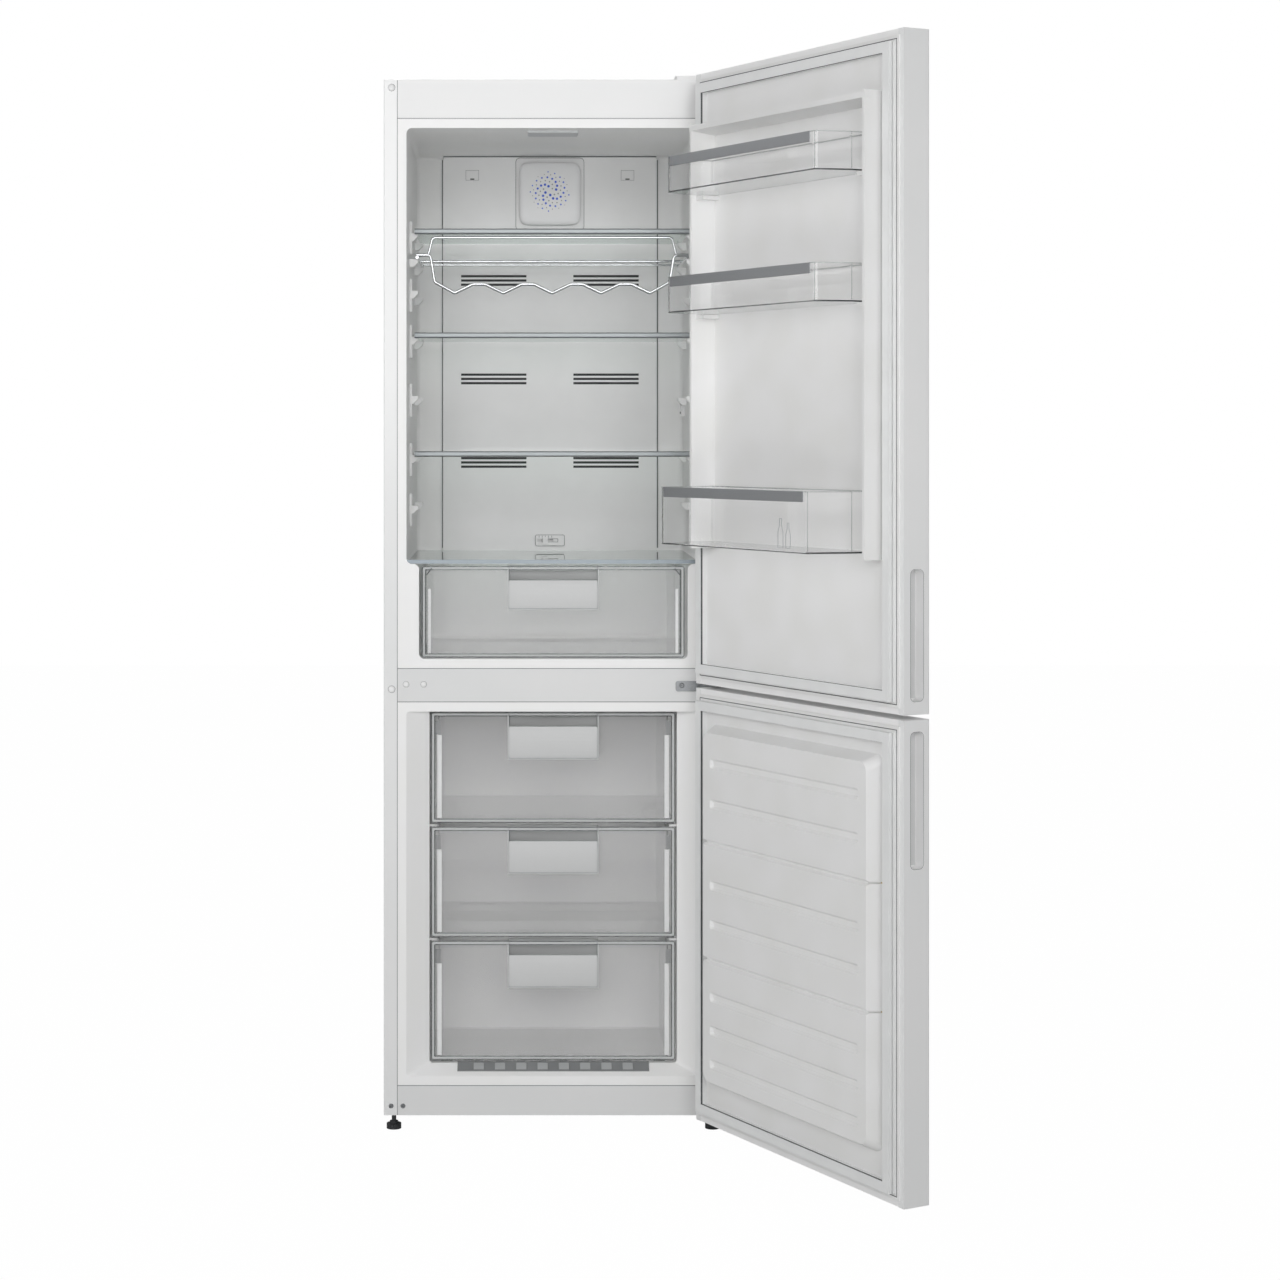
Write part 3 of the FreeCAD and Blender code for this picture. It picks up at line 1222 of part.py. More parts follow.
def fridge_relief(inset=0.0):
    """The two uprights and the top bar of the fridge door's liner."""
    h = DYKE_H - inset
    out = -DOOR_HALF + DYKE_IN + inset
    inn = out + DYKE_W - 2 * inset
    top = FRIDGE_Z1 - DYKE_DROP - inset
    bottom = FRIDGE_Z0 + DYKE_HEIGHT + inset
    left = extruded_xy(bar_profile(out, inn, h, 8.0), bottom, top)
    bar = extruded_yz(
        [(DOOR_INNER, top), (DOOR_INNER + h, top - 3), (DOOR_INNER + h, top - DYKE_W + 2 * inset),
         (DOOR_INNER, top - DYKE_W - 8 + 2 * inset)],
        out + 1, -out - 1,
    )
    return joined([left, mirrored(left), bar])


def bin_ledges():
    """Small ledges on the uprights that the door bins sit on."""
    ledges = []
    for z in BIN_HEIGHTS + (BOTTLE_BIN_Z,):
        x0 = -DOOR_HALF + DYKE_IN + 4
        x1 = -DOOR_HALF + BIN_IN + 12
        y0 = DOOR_INNER + 0.5
        ledge = box(x0, x1, y0, DOOR_INNER + DYKE_H - 8, z - SEAT - 7, z - SEAT)
        ledges += [ledge, mirrored(ledge)]
    return ledges


def fridge_door_liner(z0, z1):
    whole = joined([door_base(z0, z1), fridge_relief()] + bin_ledges())
    return whole.cut(fridge_relief(LINER_T))


def freezer_relief(z0, z1, inset=0.0):
    """The raised panel of the freezer door's liner, bevelled all round."""
    half = DOOR_HALF - PANEL_IN - inset
    top = FREEZER_Z1 - PANEL_TOP_GAP - inset
    low = FREEZER_Z0 + 14 + inset
    height = PANEL_H - inset
    lower = rectangle(half, DOOR_INNER, low, top, 16.0)
    upper = rectangle(half - PANEL_BEVEL, DOOR_INNER + height, low + PANEL_BEVEL, top - PANEL_BEVEL, 16.0)
    return Part.makeLoft([lower.OuterWire, upper.OuterWire], True, True)


def panel_grooves(z0, z1, deeper=0.0):
    """Long pressed grooves, and the two that divide the panel in three, with leaning sides."""
    face = DOOR_INNER + PANEL_H
    bed = face - GROOVE_DEPTH - deeper
    cuts = []
    half = DOOR_HALF - PANEL_IN - PANEL_RIB_ENDS + deeper
    for height in PANEL_RIBS:
        z = FREEZER_Z0 + height
        tall = PANEL_RIB_H / 2 + deeper
        mouth = rectangle(half + 1, face + 1, z - tall - 1, z + tall + 1, 6.0)
        flat = rectangle(half - GROOVE_DRAFT, bed, z - tall + GROOVE_DRAFT, z + tall - GROOVE_DRAFT, 3.0)
        cuts.append(Part.makeLoft([mouth.OuterWire, flat.OuterWire], True, True))
    inner = freezer_relief(z0, z1, GROOVE_DEPTH + deeper)
    for height in PANEL_GROOVES:
        z = FREEZER_Z0 + height
        tall = DIVIDE_H / 2 + deeper
        wedge = [(face + 1, z - tall), (face + 1, z + tall), (bed, z + tall - GROOVE_DRAFT),
                 (bed, z - tall + GROOVE_DRAFT)]
        cuts.append(extruded_yz(wedge, -DOOR_HALF, DOOR_HALF))
        ends = tall - GROOVE_DRAFT
        cuts.append(box(-DOOR_HALF, DOOR_HALF, DOOR_INNER + LINER_T, face, z - ends, z + ends).cut(inner))
    return cuts


def freezer_door_liner(z0, z1):
    raised = freezer_relief(z0, z1).cut(panel_grooves(z0, z1))
    hollow = freezer_relief(z0, z1, LINER_T).cut(panel_grooves(z0, z1, LINER_T))
    return joined([door_base(z0, z1), raised]).cut(hollow)


def door_foam(z0, z1, grip, relief):
    low = z0 + CAP_T
    high = z1 - CAP_T
    pad = box(-DOOR_HALF + DOOR_LIP, DOOR_HALF - DOOR_LIP, DOOR_INNER - SHEET, DOOR_INNER, low, high)
    block = joined([door_inside(low, high), pad])
    block = block.cut(bushes(z0, z1) + [grip_recess(grip, GRIP_T)])
    return joined([block, relief])


def gasket(z0, z1):
    """The magnetic seal: a mitred frame with a hollow bellows section."""
    y0 = DOOR_INNER + LINER_T
    y1 = FRONT - SEAT
    out = GASKET_IN
    inn = GASKET_IN + GASKET_W
    outer = box(-DOOR_HALF + out, DOOR_HALF - out, y0, y1, z0 + out, z1 - out)
    hole = box(-DOOR_HALF + inn, DOOR_HALF - inn, y0 - 1, y1 + 1, z0 + inn, z1 - inn)
    groove_out = box(-DOOR_HALF + out - 1, DOOR_HALF - out + 1, y0 + 4, y0 + 6.5, z0 + out - 1, z1 - out + 1)
    groove_core = box(-DOOR_HALF + out + 3, DOOR_HALF - out - 3, y0 + 3, y0 + 7.5, z0 + out + 3, z1 - out - 3)
    return outer.cut(hole).cut(groove_out.cut(groove_core))


# ---------------------------------------------------------------- door bins
def bin_outline(reach, inset):
    """Plan of a bin, closed door, from its back edge to its tapered front."""
    half = DOOR_HALF - BIN_IN - inset
    back = DOOR_INNER + LINER_T + BIN_BACK + inset
    front = DOOR_INNER + reach - inset
    waist = back + 45
    return [(-half, back), (half, back), (half, waist), (half - BIN_TAPER, front),
            (-half + BIN_TAPER, front), (-half, waist)]


def door_bin(z, height, reach):
    outer = extruded_xy(bin_outline(reach, 0), z, z + height)
    front = DOOR_INNER + reach
    corners = edges_along(outer, UP, lambda p: p.y > front - 1)
    outer = outer.makeFillet(9.0, corners)
    inside = extruded_xy(bin_outline(reach, BIN_T), z + BIN_T, z + height + 1)
    corners = edges_along(inside, UP, lambda p: p.y > front - BIN_T - 1)
    return outer.cut(inside.makeFillet(7.0, corners))


def bin_band(z, height, reach):
    """The satin strip along the top of a bin's front."""
    half = DOOR_HALF - BIN_IN - BIN_TAPER - 11
    y = DOOR_INNER + reach
    top = z + height
    band = box(-half, half, y, y + BIN_BAND_T, top - BIN_BAND_H, top)
    return band.makeFillet(0.8, edges_along(band, Vector(1, 0, 0), lambda p: p.y > y + 1))


# ---------------------------------------------------------------- build
def build():
    side = side_panel()
    rails = front_rails()
    coil = condenser()
    base = base_plate().cut(condenser(SEAT))
    left = mirrored(side)
    in_foam = [side, left, rails, base, coil, bottom_hinge()] + foot_sleeves()
    write("side_panel_right", side)
    write("side_panel_left", left)
    write("top_panel", top_panel())
    write("back_panel", back_panel())
    write("front_rails", rails)
    write("base_plate", base)
    write("condenser", coil)
    write("insulation_foam", insulation_foam(in_foam))
    write("fridge_liner", fridge_liner())
    write("freezer_liner", freezer_liner())

    write("air_duct_cover", air_duct_cover())
    write("fan_cover", fan_cover())
    write("damper_knob", damper_knob())
    write("ceiling_lamp", ceiling_lamp())
    write("crisper_lid", crisper_lid())
    write("bottle_rack", bottle_rack())
    for name, height in zip(("lower", "middle", "upper"), SHELF_TOPS):
        write("shelf_glass_" + name, shelf_glass(height))
        write("shelf_trim_" + name, shelf_trim(height))

    write("crisper_drawer", crisper_drawer())
    for index, name in enumerate(("lower", "middle", "upper")):
        write("freezer_drawer_" + name, freezer_drawer(index))
    write("lower_air_grille", lower_air_grille())
    write("evaporator_cover", evaporator_cover())
    write("evaporator", evaporator())
    write("evaporator_fan", evaporator_fan())
    write("fan_motor", fan_motor())

    write("compressor", compressor())
    write("drip_tray", drip_tray())
    write("cord_inlet", cord_inlet())
    for name, side_sign in (("left", -1), ("right", 1)):
        write("foot_" + name, levelling_foot(side_sign))
        write("roller_" + name, rear_roller(side_sign))

    write("top_hinge", top_hinge())
    write("top_hinge_cover", top_hinge_cover())
    write("middle_hinge", middle_hinge())
    write("bottom_hinge", bottom_hinge())
    write("hinge_screws", hinge_screws())
    write("plug_caps", plug_caps())

    z0, z1 = FRIDGE_DOOR_BOTTOM, FRIDGE_DOOR_TOP
    write("fridge_door_skin", opened(door_skin(z0, z1, FRIDGE_GRIP)))
    write("fridge_door_foam", opened(door_foam(z0, z1, FRIDGE_GRIP, fridge_relief(LINER_T))))
    write("fridge_door_liner", opened(fridge_door_liner(z0, z1)))
    write("fridge_door_gasket", opened(gasket(z0, z1)))
    write("fridge_door_caps", opened(door_caps(z0, z1, FRIDGE_GRIP)))
    for name, height in zip(("upper", "middle"), BIN_HEIGHTS):
        write("door_bin_" + name, opened(door_bin(height, SMALL_BIN_H, SMALL_BIN_REACH)))
        write("bin_band_" + name, opened(bin_band(height, SMALL_BIN_H, SMALL_BIN_REACH)))
    write("bottle_bin", opened(door_bin(BOTTLE_BIN_Z, BOTTLE_BIN_H, BOTTLE_BIN_REACH)))
    write("bottle_bin_band", opened(bin_band(BOTTLE_BIN_Z, BOTTLE_BIN_H, BOTTLE_BIN_REACH)))

    z0, z1 = FREEZER_DOOR_BOTTOM, FREEZER_DOOR_TOP
    relief = freezer_relief(z0, z1, LINER_T).cut(panel_grooves(z0, z1, LINER_T))
    write("freezer_door_skin", opened(door_skin(z0, z1, FREEZER_GRIP)))
    write("freezer_door_foam", opened(door_foam(z0, z1, FREEZER_GRIP, relief)))
    write("freezer_door_liner", opened(freezer_door_liner(z0, z1)))
    write("freezer_door_gasket", opened(gasket(z0, z1)))
    write("freezer_door_caps", opened(door_caps(z0, z1, FREEZER_GRIP)))


build()
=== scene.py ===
"""Looks of a bottom freezer refrigerator whose two doors stand open on their right-hand hinges.

The frame's origin is at the middle of the cabinet's underside, 28.5 mm above the floor, in metres. Places in this
script are in millimetres with heights counted from the floor, and at() takes them to the frame.
"""
import json
import math

import bmesh
import bpy
from mathutils import Matrix, Vector


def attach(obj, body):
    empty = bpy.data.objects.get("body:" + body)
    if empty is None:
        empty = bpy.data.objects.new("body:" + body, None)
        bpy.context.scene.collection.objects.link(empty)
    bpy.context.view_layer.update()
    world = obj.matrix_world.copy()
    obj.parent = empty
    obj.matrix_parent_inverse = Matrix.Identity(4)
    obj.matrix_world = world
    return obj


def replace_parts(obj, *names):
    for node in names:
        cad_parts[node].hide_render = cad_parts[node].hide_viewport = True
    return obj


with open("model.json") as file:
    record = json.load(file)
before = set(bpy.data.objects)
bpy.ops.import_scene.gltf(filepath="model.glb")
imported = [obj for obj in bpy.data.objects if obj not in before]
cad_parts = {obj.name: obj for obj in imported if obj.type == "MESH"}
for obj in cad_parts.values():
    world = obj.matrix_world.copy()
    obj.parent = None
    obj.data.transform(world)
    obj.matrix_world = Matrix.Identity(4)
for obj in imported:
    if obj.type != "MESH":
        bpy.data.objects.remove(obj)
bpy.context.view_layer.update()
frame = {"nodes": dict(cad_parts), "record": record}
NODES = frame["nodes"]
BODY_OF = {node: body for body, nodes in frame["record"]["behaviour"]["bodies"].items() for node in nodes}

MM = 0.001
FLOOR = -28.5 * MM
OPEN_ANGLE = math.radians(118.3)
HINGE = Vector((288 * MM, -322.5 * MM, 0))
TO_FRONT, UP, DOWN = (0, -1, 0), (0, 0, 1), (0, 0, -1)

# Faces and edges that several added pieces sit on, in millimetres.
CABINET_FRONT = -267.5
OPENING_HALF = 276
DUCT_FACE = 187.5
FRIDGE_FLOOR = 835.5


# ---------------------------------------------------------------- small tools
def at(x, y, height):
    """A place in the frame, from millimetres and a height above the floor."""
    return (x * MM, y * MM, height * MM + FLOOR)


def opened(place):
    """A place given with its door closed, where it is with the door stored open."""
    return Matrix.Rotation(OPEN_ANGLE, 4, "Z") @ (Vector(place) - HINGE) + HINGE


def colour(code):
    """An sRGB hex value as the linear colour that a shader takes."""
    parts = [int(code[i:i + 2], 16) / 255 for i in (1, 3, 5)]
    return [p / 12.92 if p <= 0.04045 else ((p + 0.055) / 1.055) ** 2.4 for p in parts] + [1.0]


def add(tree, kind, settings=None, links=None):
    """Adds one node: its settings by property or socket, its links by socket, each by name or by number."""
    made = tree.nodes.new(kind)
    for name, value in (settings or {}).items():
        if isinstance(name, str) and hasattr(made, name):
            setattr(made, name, value)
        else:
            made.inputs[name].default_value = value
    for name, source in (links or {}).items():
        tree.links.new(source, made.inputs[name])
    return made


def new_material(name):
    """An empty node material with its output, and the object coordinates that its patterns follow."""
    material = bpy.data.materials.new(name)
    material.use_nodes = True
    tree = material.node_tree
    tree.nodes.clear()
    output = add(tree, "ShaderNodeOutputMaterial")
    place = add(tree, "ShaderNodeTexCoord").outputs["Object"]
    return material, tree, output, place


# ---------------------------------------------------------------- materials
# The colour mix has several sockets of one name, so these are its numbers.
FACTOR, COLOUR_A, COLOUR_B, MIXED = 0, 6, 7, 2


def painted_sheet(name, code_a, code_b):
    """Polyester powder coat on steel: a smooth gloss with a faint orange peel of 3 mm."""
    material, tree, output, place = new_material(name)
    peel = add(tree, "ShaderNodeTexNoise", {"Scale": 1 / (3 * MM)}, {"Vector": place})
    cloud = add(tree, "ShaderNodeTexNoise", {"Scale": 1 / (180 * MM)}, {"Vector": place})
    bump = add(tree, "ShaderNodeBump", {"Distance": 0.02 * MM, "Strength": 0.35}, {"Height": peel.outputs["Fac"]})
    rough = add(tree, "ShaderNodeMapRange", {"To Min": 0.26, "To Max": 0.34}, {"Value": peel.outputs["Fac"]})
    share = add(tree, "ShaderNodeMapRange", {"From Min": 0.3, "From Max": 0.7}, {"Value": cloud.outputs["Fac"]})
    base = add(tree, "ShaderNodeMix", {"data_type": "RGBA", COLOUR_A: colour(code_a), COLOUR_B: colour(code_b)},
               {FACTOR: share.outputs["Result"]})
    shader = add(tree, "ShaderNodeBsdfPrincipled", {"IOR": 1.5, "Coat Weight": 0.25, "Coat Roughness": 0.12},
                 {"Base Color": base.outputs[MIXED], "Roughness": rough.outputs["Result"],
                  "Normal": bump.outputs["Normal"]})
    tree.links.new(shader.outputs["BSDF"], output.inputs["Surface"])
    return material


def formed_liner(name, code_a, code_b):
    """Vacuum-formed high-impact polystyrene: satin, with slow waves of 70 mm where the sheet was drawn."""
    material, tree, output, place = new_material(name)
    wave = add(tree, "ShaderNodeTexNoise", {"Scale": 1 / (70 * MM), "Detail": 0.0}, {"Vector": place})
    grain = add(tree, "ShaderNodeTexNoise", {"Scale": 1 / (1.2 * MM)}, {"Vector": place})
    grain_share = 0.02
    height = add(tree, "ShaderNodeMath", {"operation": "MULTIPLY_ADD", 1: grain_share},
                 {0: grain.outputs["Fac"], 2: wave.outputs["Fac"]})
    bump = add(tree, "ShaderNodeBump", {"Distance": 0.3 * MM, "Strength": 0.1}, {"Height": height.outputs["Value"]})
    rough = add(tree, "ShaderNodeMapRange", {"To Min": 0.36, "To Max": 0.46}, {"Value": grain.outputs["Fac"]})
    share = add(tree, "ShaderNodeMapRange", {"From Min": 0.3, "From Max": 0.7}, {"Value": wave.outputs["Fac"]})
    base = add(tree, "ShaderNodeMix", {"data_type": "RGBA", COLOUR_A: colour(code_a), COLOUR_B: colour(code_b)},
               {FACTOR: share.outputs["Result"]})
    shader = add(tree, "ShaderNodeBsdfPrincipled", {"IOR": 1.59, "Specular IOR Level": 0.35},
                 {"Base Color": base.outputs[MIXED], "Roughness": rough.outputs["Result"],
                  "Normal": bump.outputs["Normal"]})
    tree.links.new(shader.outputs["BSDF"], output.inputs["Surface"])
    return material


def moulded(name, code_a, code_b, smoothest, roughest, grain_mm=0.8):
    """Injection-moulded plastic with a spark-eroded grain, which scatters the lamps into a soft sheen.

    The real grain is about 0.1 mm wide, too fine to show, so it is drawn coarser.
    """
    material, tree, output, place = new_material(name)
    grain = add(tree, "ShaderNodeTexNoise", {"Scale": 1 / (grain_mm * MM)}, {"Vector": place})
    cloud = add(tree, "ShaderNodeTexNoise", {"Scale": 1 / (60 * MM)}, {"Vector": place})
    bump = add(tree, "ShaderNodeBump", {"Distance": 0.03 * MM, "Strength": 0.4}, {"Height": grain.outputs["Fac"]})
    rough = add(tree, "ShaderNodeMapRange", {"To Min": smoothest, "To Max": roughest},
                {"Value": grain.outputs["Fac"]})
    share = add(tree, "ShaderNodeMapRange", {"From Min": 0.3, "From Max": 0.7}, {"Value": cloud.outputs["Fac"]})
    base = add(tree, "ShaderNodeMix", {"data_type": "RGBA", COLOUR_A: colour(code_a), COLOUR_B: colour(code_b)},
               {FACTOR: share.outputs["Result"]})
    shader = add(tree, "ShaderNodeBsdfPrincipled", {"IOR": 1.53},
                 {"Base Color": base.outputs[MIXED], "Roughness": rough.outputs["Result"],
                  "Normal": bump.outputs["Normal"]})
    tree.links.new(shader.outputs["BSDF"], output.inputs["Surface"])
    return material


def see_through(name, tint, edge_colour_and_shade, shadow_tint, ior, roughest, wave_mm=60, wave_depth_mm=0.01, milk=0.0):
    """A clear solid: it bends the view and lets the lamps pass. Along its face it takes the darker edge tint: green
    in glass, painted shade in plastic.
    """
    material, tree, output, place = new_material(name)
    wave = add(tree, "ShaderNodeTexNoise", {"Scale": 1 / (wave_mm * MM), "Detail": 0.0}, {"Vector": place})
    bump = add(tree, "ShaderNodeBump", {"Distance": wave_depth_mm * MM, "Strength": 0.3},
               {"Height": wave.outputs["Fac"]})
    rough = add(tree, "ShaderNodeMapRange", {"To Min": 0.0, "To Max": roughest}, {"Value": wave.outputs["Fac"]})
    # Along the face the darker edge tint comes in: painted shade on plastic, the green of glass.
    facing = add(tree, "ShaderNodeLayerWeight", {"Blend": 0.5})
    grazing = add(tree, "ShaderNodeMapRange", {"From Min": 0.6, "From Max": 0.97},
                  {"Value": facing.outputs["Facing"]})
    tone = add(tree, "ShaderNodeMix", {"data_type": "RGBA", COLOUR_A: colour(tint), COLOUR_B: colour(edge_colour_and_shade)},
               {FACTOR: grazing.outputs["Result"]})
    solid = add(tree, "ShaderNodeBsdfPrincipled", {"IOR": ior, "Transmission Weight": 1.0 - milk},
                {"Base Color": tone.outputs[MIXED], "Roughness": rough.outputs["Result"],
                 "Normal": bump.outputs["Normal"]})
    shadow = add(tree, "ShaderNodeBsdfTransparent", {"Color": colour(shadow_tint)})
    path = add(tree, "ShaderNodeLightPath")
    either = add(tree, "ShaderNodeMixShader", None,
                 {0: path.outputs["Is Shadow Ray"], 1: solid.outputs["BSDF"], 2: shadow.outputs["BSDF"]})
    tree.links.new(either.outputs["Shader"], output.inputs["Surface"])
    return material


def frosted(name, code_a, code_b):
    """Clear polystyrene with an eroded texture on both faces: milky, so the space behind it doesn't show.

    The real texture is finer than it is drawn here, 0.8 mm, at which it still shows.
    """
    material, tree, output, place = new_material(name)
    grain = add(tree, "ShaderNodeTexNoise", {"Scale": 1 / (0.8 * MM)}, {"Vector": place})
    bump = add(tree, "ShaderNodeBump", {"Distance": 0.04 * MM, "Strength": 0.4}, {"Height": grain.outputs["Fac"]})
    rough = add(tree, "ShaderNodeMapRange", {"To Min": 0.42, "To Max": 0.55}, {"Value": grain.outputs["Fac"]})
    share = add(tree, "ShaderNodeMapRange", {"From Min": 0.3, "From Max": 0.7}, {"Value": grain.outputs["Fac"]})
    base = add(tree, "ShaderNodeMix", {"data_type": "RGBA", COLOUR_A: colour(code_a), COLOUR_B: colour(code_b)},
               {FACTOR: share.outputs["Result"]})
    shader = add(tree, "ShaderNodeBsdfPrincipled", {"IOR": 1.45, "Transmission Weight": 0.15},
                 {"Base Color": base.outputs[MIXED], "Roughness": rough.outputs["Result"],
                  "Normal": bump.outputs["Normal"]})
    tree.links.new(shader.outputs["BSDF"], output.inputs["Surface"])
    return material


def metal(name, code_a, code_b, smoothest, roughest, grain_mm, stretch=(1, 1, 1), depth_mm=0.01):
    """A metal surface. A small stretch along one axis draws its grain out there, as rolling or brushing does.

    Real brush lines are about 0.1 mm wide, too fine to show, so they are drawn coarser.
    """
    material, tree, output, place = new_material(name)
    along = add(tree, "ShaderNodeMapping", {"Scale": stretch}, {"Vector": place})
    grain = add(tree, "ShaderNodeTexNoise", {"Scale": 1 / (grain_mm * MM)}, {"Vector": along.outputs["Vector"]})
    bump = add(tree, "ShaderNodeBump", {"Distance": depth_mm * MM, "Strength": 0.5},
               {"Height": grain.outputs["Fac"]})
    rough = add(tree, "ShaderNodeMapRange", {"To Min": smoothest, "To Max": roughest},
                {"Value": grain.outputs["Fac"]})
    share = add(tree, "ShaderNodeMapRange", {"From Min": 0.3, "From Max": 0.7}, {"Value": grain.outputs["Fac"]})
    base = add(tree, "ShaderNodeMix", {"data_type": "RGBA", COLOUR_A: colour(code_a), COLOUR_B: colour(code_b)},
               {FACTOR: share.outputs["Result"]})
    shader = add(tree, "ShaderNodeBsdfPrincipled", {"Metallic": 1.0},
                 {"Base Color": base.outputs[MIXED], "Roughness": rough.outputs["Result"],
                  "Normal": bump.outputs["Normal"]})
    tree.links.new(shader.outputs["BSDF"], output.inputs["Surface"])
    return material


def galvanised_sheet():
    """Hot-dip galvanised steel: dull zinc whose crystals, about 9 mm across, catch the light one by one."""
    material, tree, output, place = new_material("galvanised_steel")
    spangle = add(tree, "ShaderNodeTexVoronoi", {"Scale": 1 / (9 * MM)}, {"Vector": place})
    crystal = add(tree, "ShaderNodeSeparateColor", None, {"Color": spangle.outputs["Color"]})
    share = add(tree, "ShaderNodeMapRange", {"From Min": 0.3, "From Max": 0.7}, {"Value": crystal.outputs["Red"]})
    dull, bright = colour("#B6B8BA"), colour("#C0C2C3")
    base = add(tree, "ShaderNodeMix", {"data_type": "RGBA", COLOUR_A: dull, COLOUR_B: bright},
               {FACTOR: share.outputs["Result"]})
    rough = add(tree, "ShaderNodeMapRange", {"To Min": 0.42, "To Max": 0.5}, {"Value": crystal.outputs["Green"]})
    shader = add(tree, "ShaderNodeBsdfPrincipled", {"Metallic": 1.0},
                 {"Base Color": base.outputs[MIXED], "Roughness": rough.outputs["Result"]})
    tree.links.new(shader.outputs["BSDF"], output.inputs["Surface"])
    return material


def poured_foam():
    """Rigid polyurethane foam: matte and straw-coloured, with fine cells that are drawn 2 mm across to show."""
    material, tree, output, place = new_material("rigid_polyurethane_foam")
    cells = add(tree, "ShaderNodeTexVoronoi", {"Scale": 1 / (2 * MM)}, {"Vector": place})
    share = add(tree, "ShaderNodeMapRange", {"From Min": 0.3, "From Max": 0.7},
                {"Value": cells.outputs["Distance"]})
    wall, hollow = colour("#CDB26E"), colour("#DEC98F")
    base = add(tree, "ShaderNodeMix", {"data_type": "RGBA", COLOUR_A: wall, COLOUR_B: hollow},
               {FACTOR: share.outputs["Result"]})
    bump = add(tree, "ShaderNodeBump", {"Distance": 0.3 * MM, "Strength": 1.0},
               {"Height": cells.outputs["Distance"]})
    shader = add(tree, "ShaderNodeBsdfPrincipled", {"Roughness": 0.9},
                 {"Base Color": base.outputs[MIXED], "Normal": bump.outputs["Normal"]})
    tree.links.new(shader.outputs["BSDF"], output.inputs["Surface"])
    return material


# Doors and side panels: an even white whose gloss shows only as a soft highlight.
STEEL = painted_sheet("white_powder_coated_steel", "#E9EAEA", "#ECECEC")
# Front rails: the same coat, painted a shade greyer as shade, so they stand off the liners.
RAIL_STEEL_SHADED = painted_sheet("rail_powder_coated_steel_painted_shade", "#E1E2E2", "#E4E4E4")
# Cabinet liners: the brightest white, satin, with slow waves in the light.
LINER = formed_liner("white_vacuum_formed_polystyrene", "#F6F6F5", "#F7F7F7")
# Door liners: the same sheet, painted a shade greyer as shade.
DOOR_LINER_SHADED = formed_liner("door_liner_polystyrene_painted_shade", "#EAEAE9", "#EDEDED")
# Duct cover, caps and knob: white, dulled by a fine grain.
WHITE_ABS = moulded("white_abs_fine_grain", "#F1F1F1", "#F4F4F4", 0.38, 0.5)
# Fan cover: smoother, with a pearly sheen that shows its cushion shape.
PILLOW_ABS = moulded("pearl_white_abs", "#ECECED", "#EFEFF0", 0.3, 0.38)
# Gaskets: soft off-white vinyl with hardly a highlight.
SEAL = moulded("soft_pvc_gasket", "#E4E5E5", "#E9EAEA", 0.5, 0.62, 1.5)
# Feet, rollers and fan: charcoal, nearly matte.
DARK_PP = moulded("charcoal_polypropylene", "#26272A", "#303134", 0.45, 0.6)
# Air grille: an even matte grey, partly its own and partly painted shade, so that it looks recessed.
GRILLE_PP_SHADED = moulded("grey_polypropylene_grille_painted_shade", "#7F8182", "#87898A", 0.5, 0.6)
# Its teeth: painted paler than the grille as the light on them, so they stand out.
TOOTH_PP_LIT = moulded("grey_polypropylene_teeth_painted_light", "#ABADAE", "#B2B4B5", 0.5, 0.6)
# Drip tray: black with a coarser grain, matte.
TRAY_PP = moulded("black_polypropylene_tray", "#18191A", "#222324", 0.5, 0.65, 1.5)
# Cord inlet: dull black rubber.
RUBBER = moulded("black_epdm_rubber", "#161616", "#1E1E1E", 0.65, 0.8, 1.0)
# Printed dots: a thin film of strong blue.
BLUE_INK = moulded("blue_pad_printing_ink", "#1550CC", "#235ED6", 0.4, 0.5, 2.0)
# Other prints: a thin film of mid grey.
SCREEN_INK = moulded("grey_screen_printing_ink", "#8B8F92", "#94989B", 0.5, 0.6, 2.0)
# Behind the air slots and in the slits: painted shade, a dark sheet where the openings lie in shadow.
SLOT_SHADE_BLACK = moulded("painted_slot_shade_black", "#3A3B3C", "#424344", 0.7, 0.8)
# Joints, outlines and gaps: painted shade, a dull grey line where shade falls between parts.
JOINT_SHADE_GREY = moulded("painted_joint_shade_grey", "#77797A", "#7F8182", 0.7, 0.8)
# Gasket folds and slits: painted shade, a dark grey where they lie in shadow.
SEAM_SHADE_GREY = moulded("painted_seam_shade_grey", "#4C4E50", "#545658", 0.6, 0.7)
# Compressor and condenser: black lacquer, the glossiest surface in the machine bay.
BLACK_PAINT = moulded("black_lacquered_steel", "#101112", "#17181A", 0.3, 0.4, 2.5)
# Bottoms of the door grips: white plastic painted pale grey as the shade in the tubs.
TUB_SHADE_GREY = moulded("white_abs_grip_tub_painted_shade", "#D0D1D1", "#D5D6D6", 0.5, 0.6)
# Ceiling lamp: a milky cover with no lamp seen through it.
LENS = moulded("opal_polycarbonate_lens", "#CFD1D2", "#D5D7D8", 0.5, 0.6)
# Shelves and lid: clear plates with green edges, almost flat.
GLASS = see_through("toughened_float_glass", "#FBFDFC", "#A9C9BC", "#F4F8F6", 1.5, 0.01, 120, 0.02)
# Freezer drawers: clear with a slight haze, tinted darker than the crisper as painted shade, and painted greyer
# where the wall is seen along its face.
DRAWER_CLEAR_SHADED = see_through("clear_polystyrene_drawer_painted_shade", "#F3F3F3", "#D6D8D8", "#F1F1F1", 1.22, 0.02, milk=0.18)
# Crisper: the same plastic, a little clearer, without the freezer drawers' painted shade.
CRISPER_CLEAR = see_through("clear_polystyrene_crisper", "#FAFAFA", "#DCDEDE", "#F5F5F5", 1.22, 0.02, milk=0.14)
# Frames of the drawer fronts: a smooth grey-white band, painted as the light that the clear frame carries.
FRAME_LIGHT_BAND = frosted("polished_polystyrene_frame_painted_light", "#D2D4D4", "#D7D9D9")
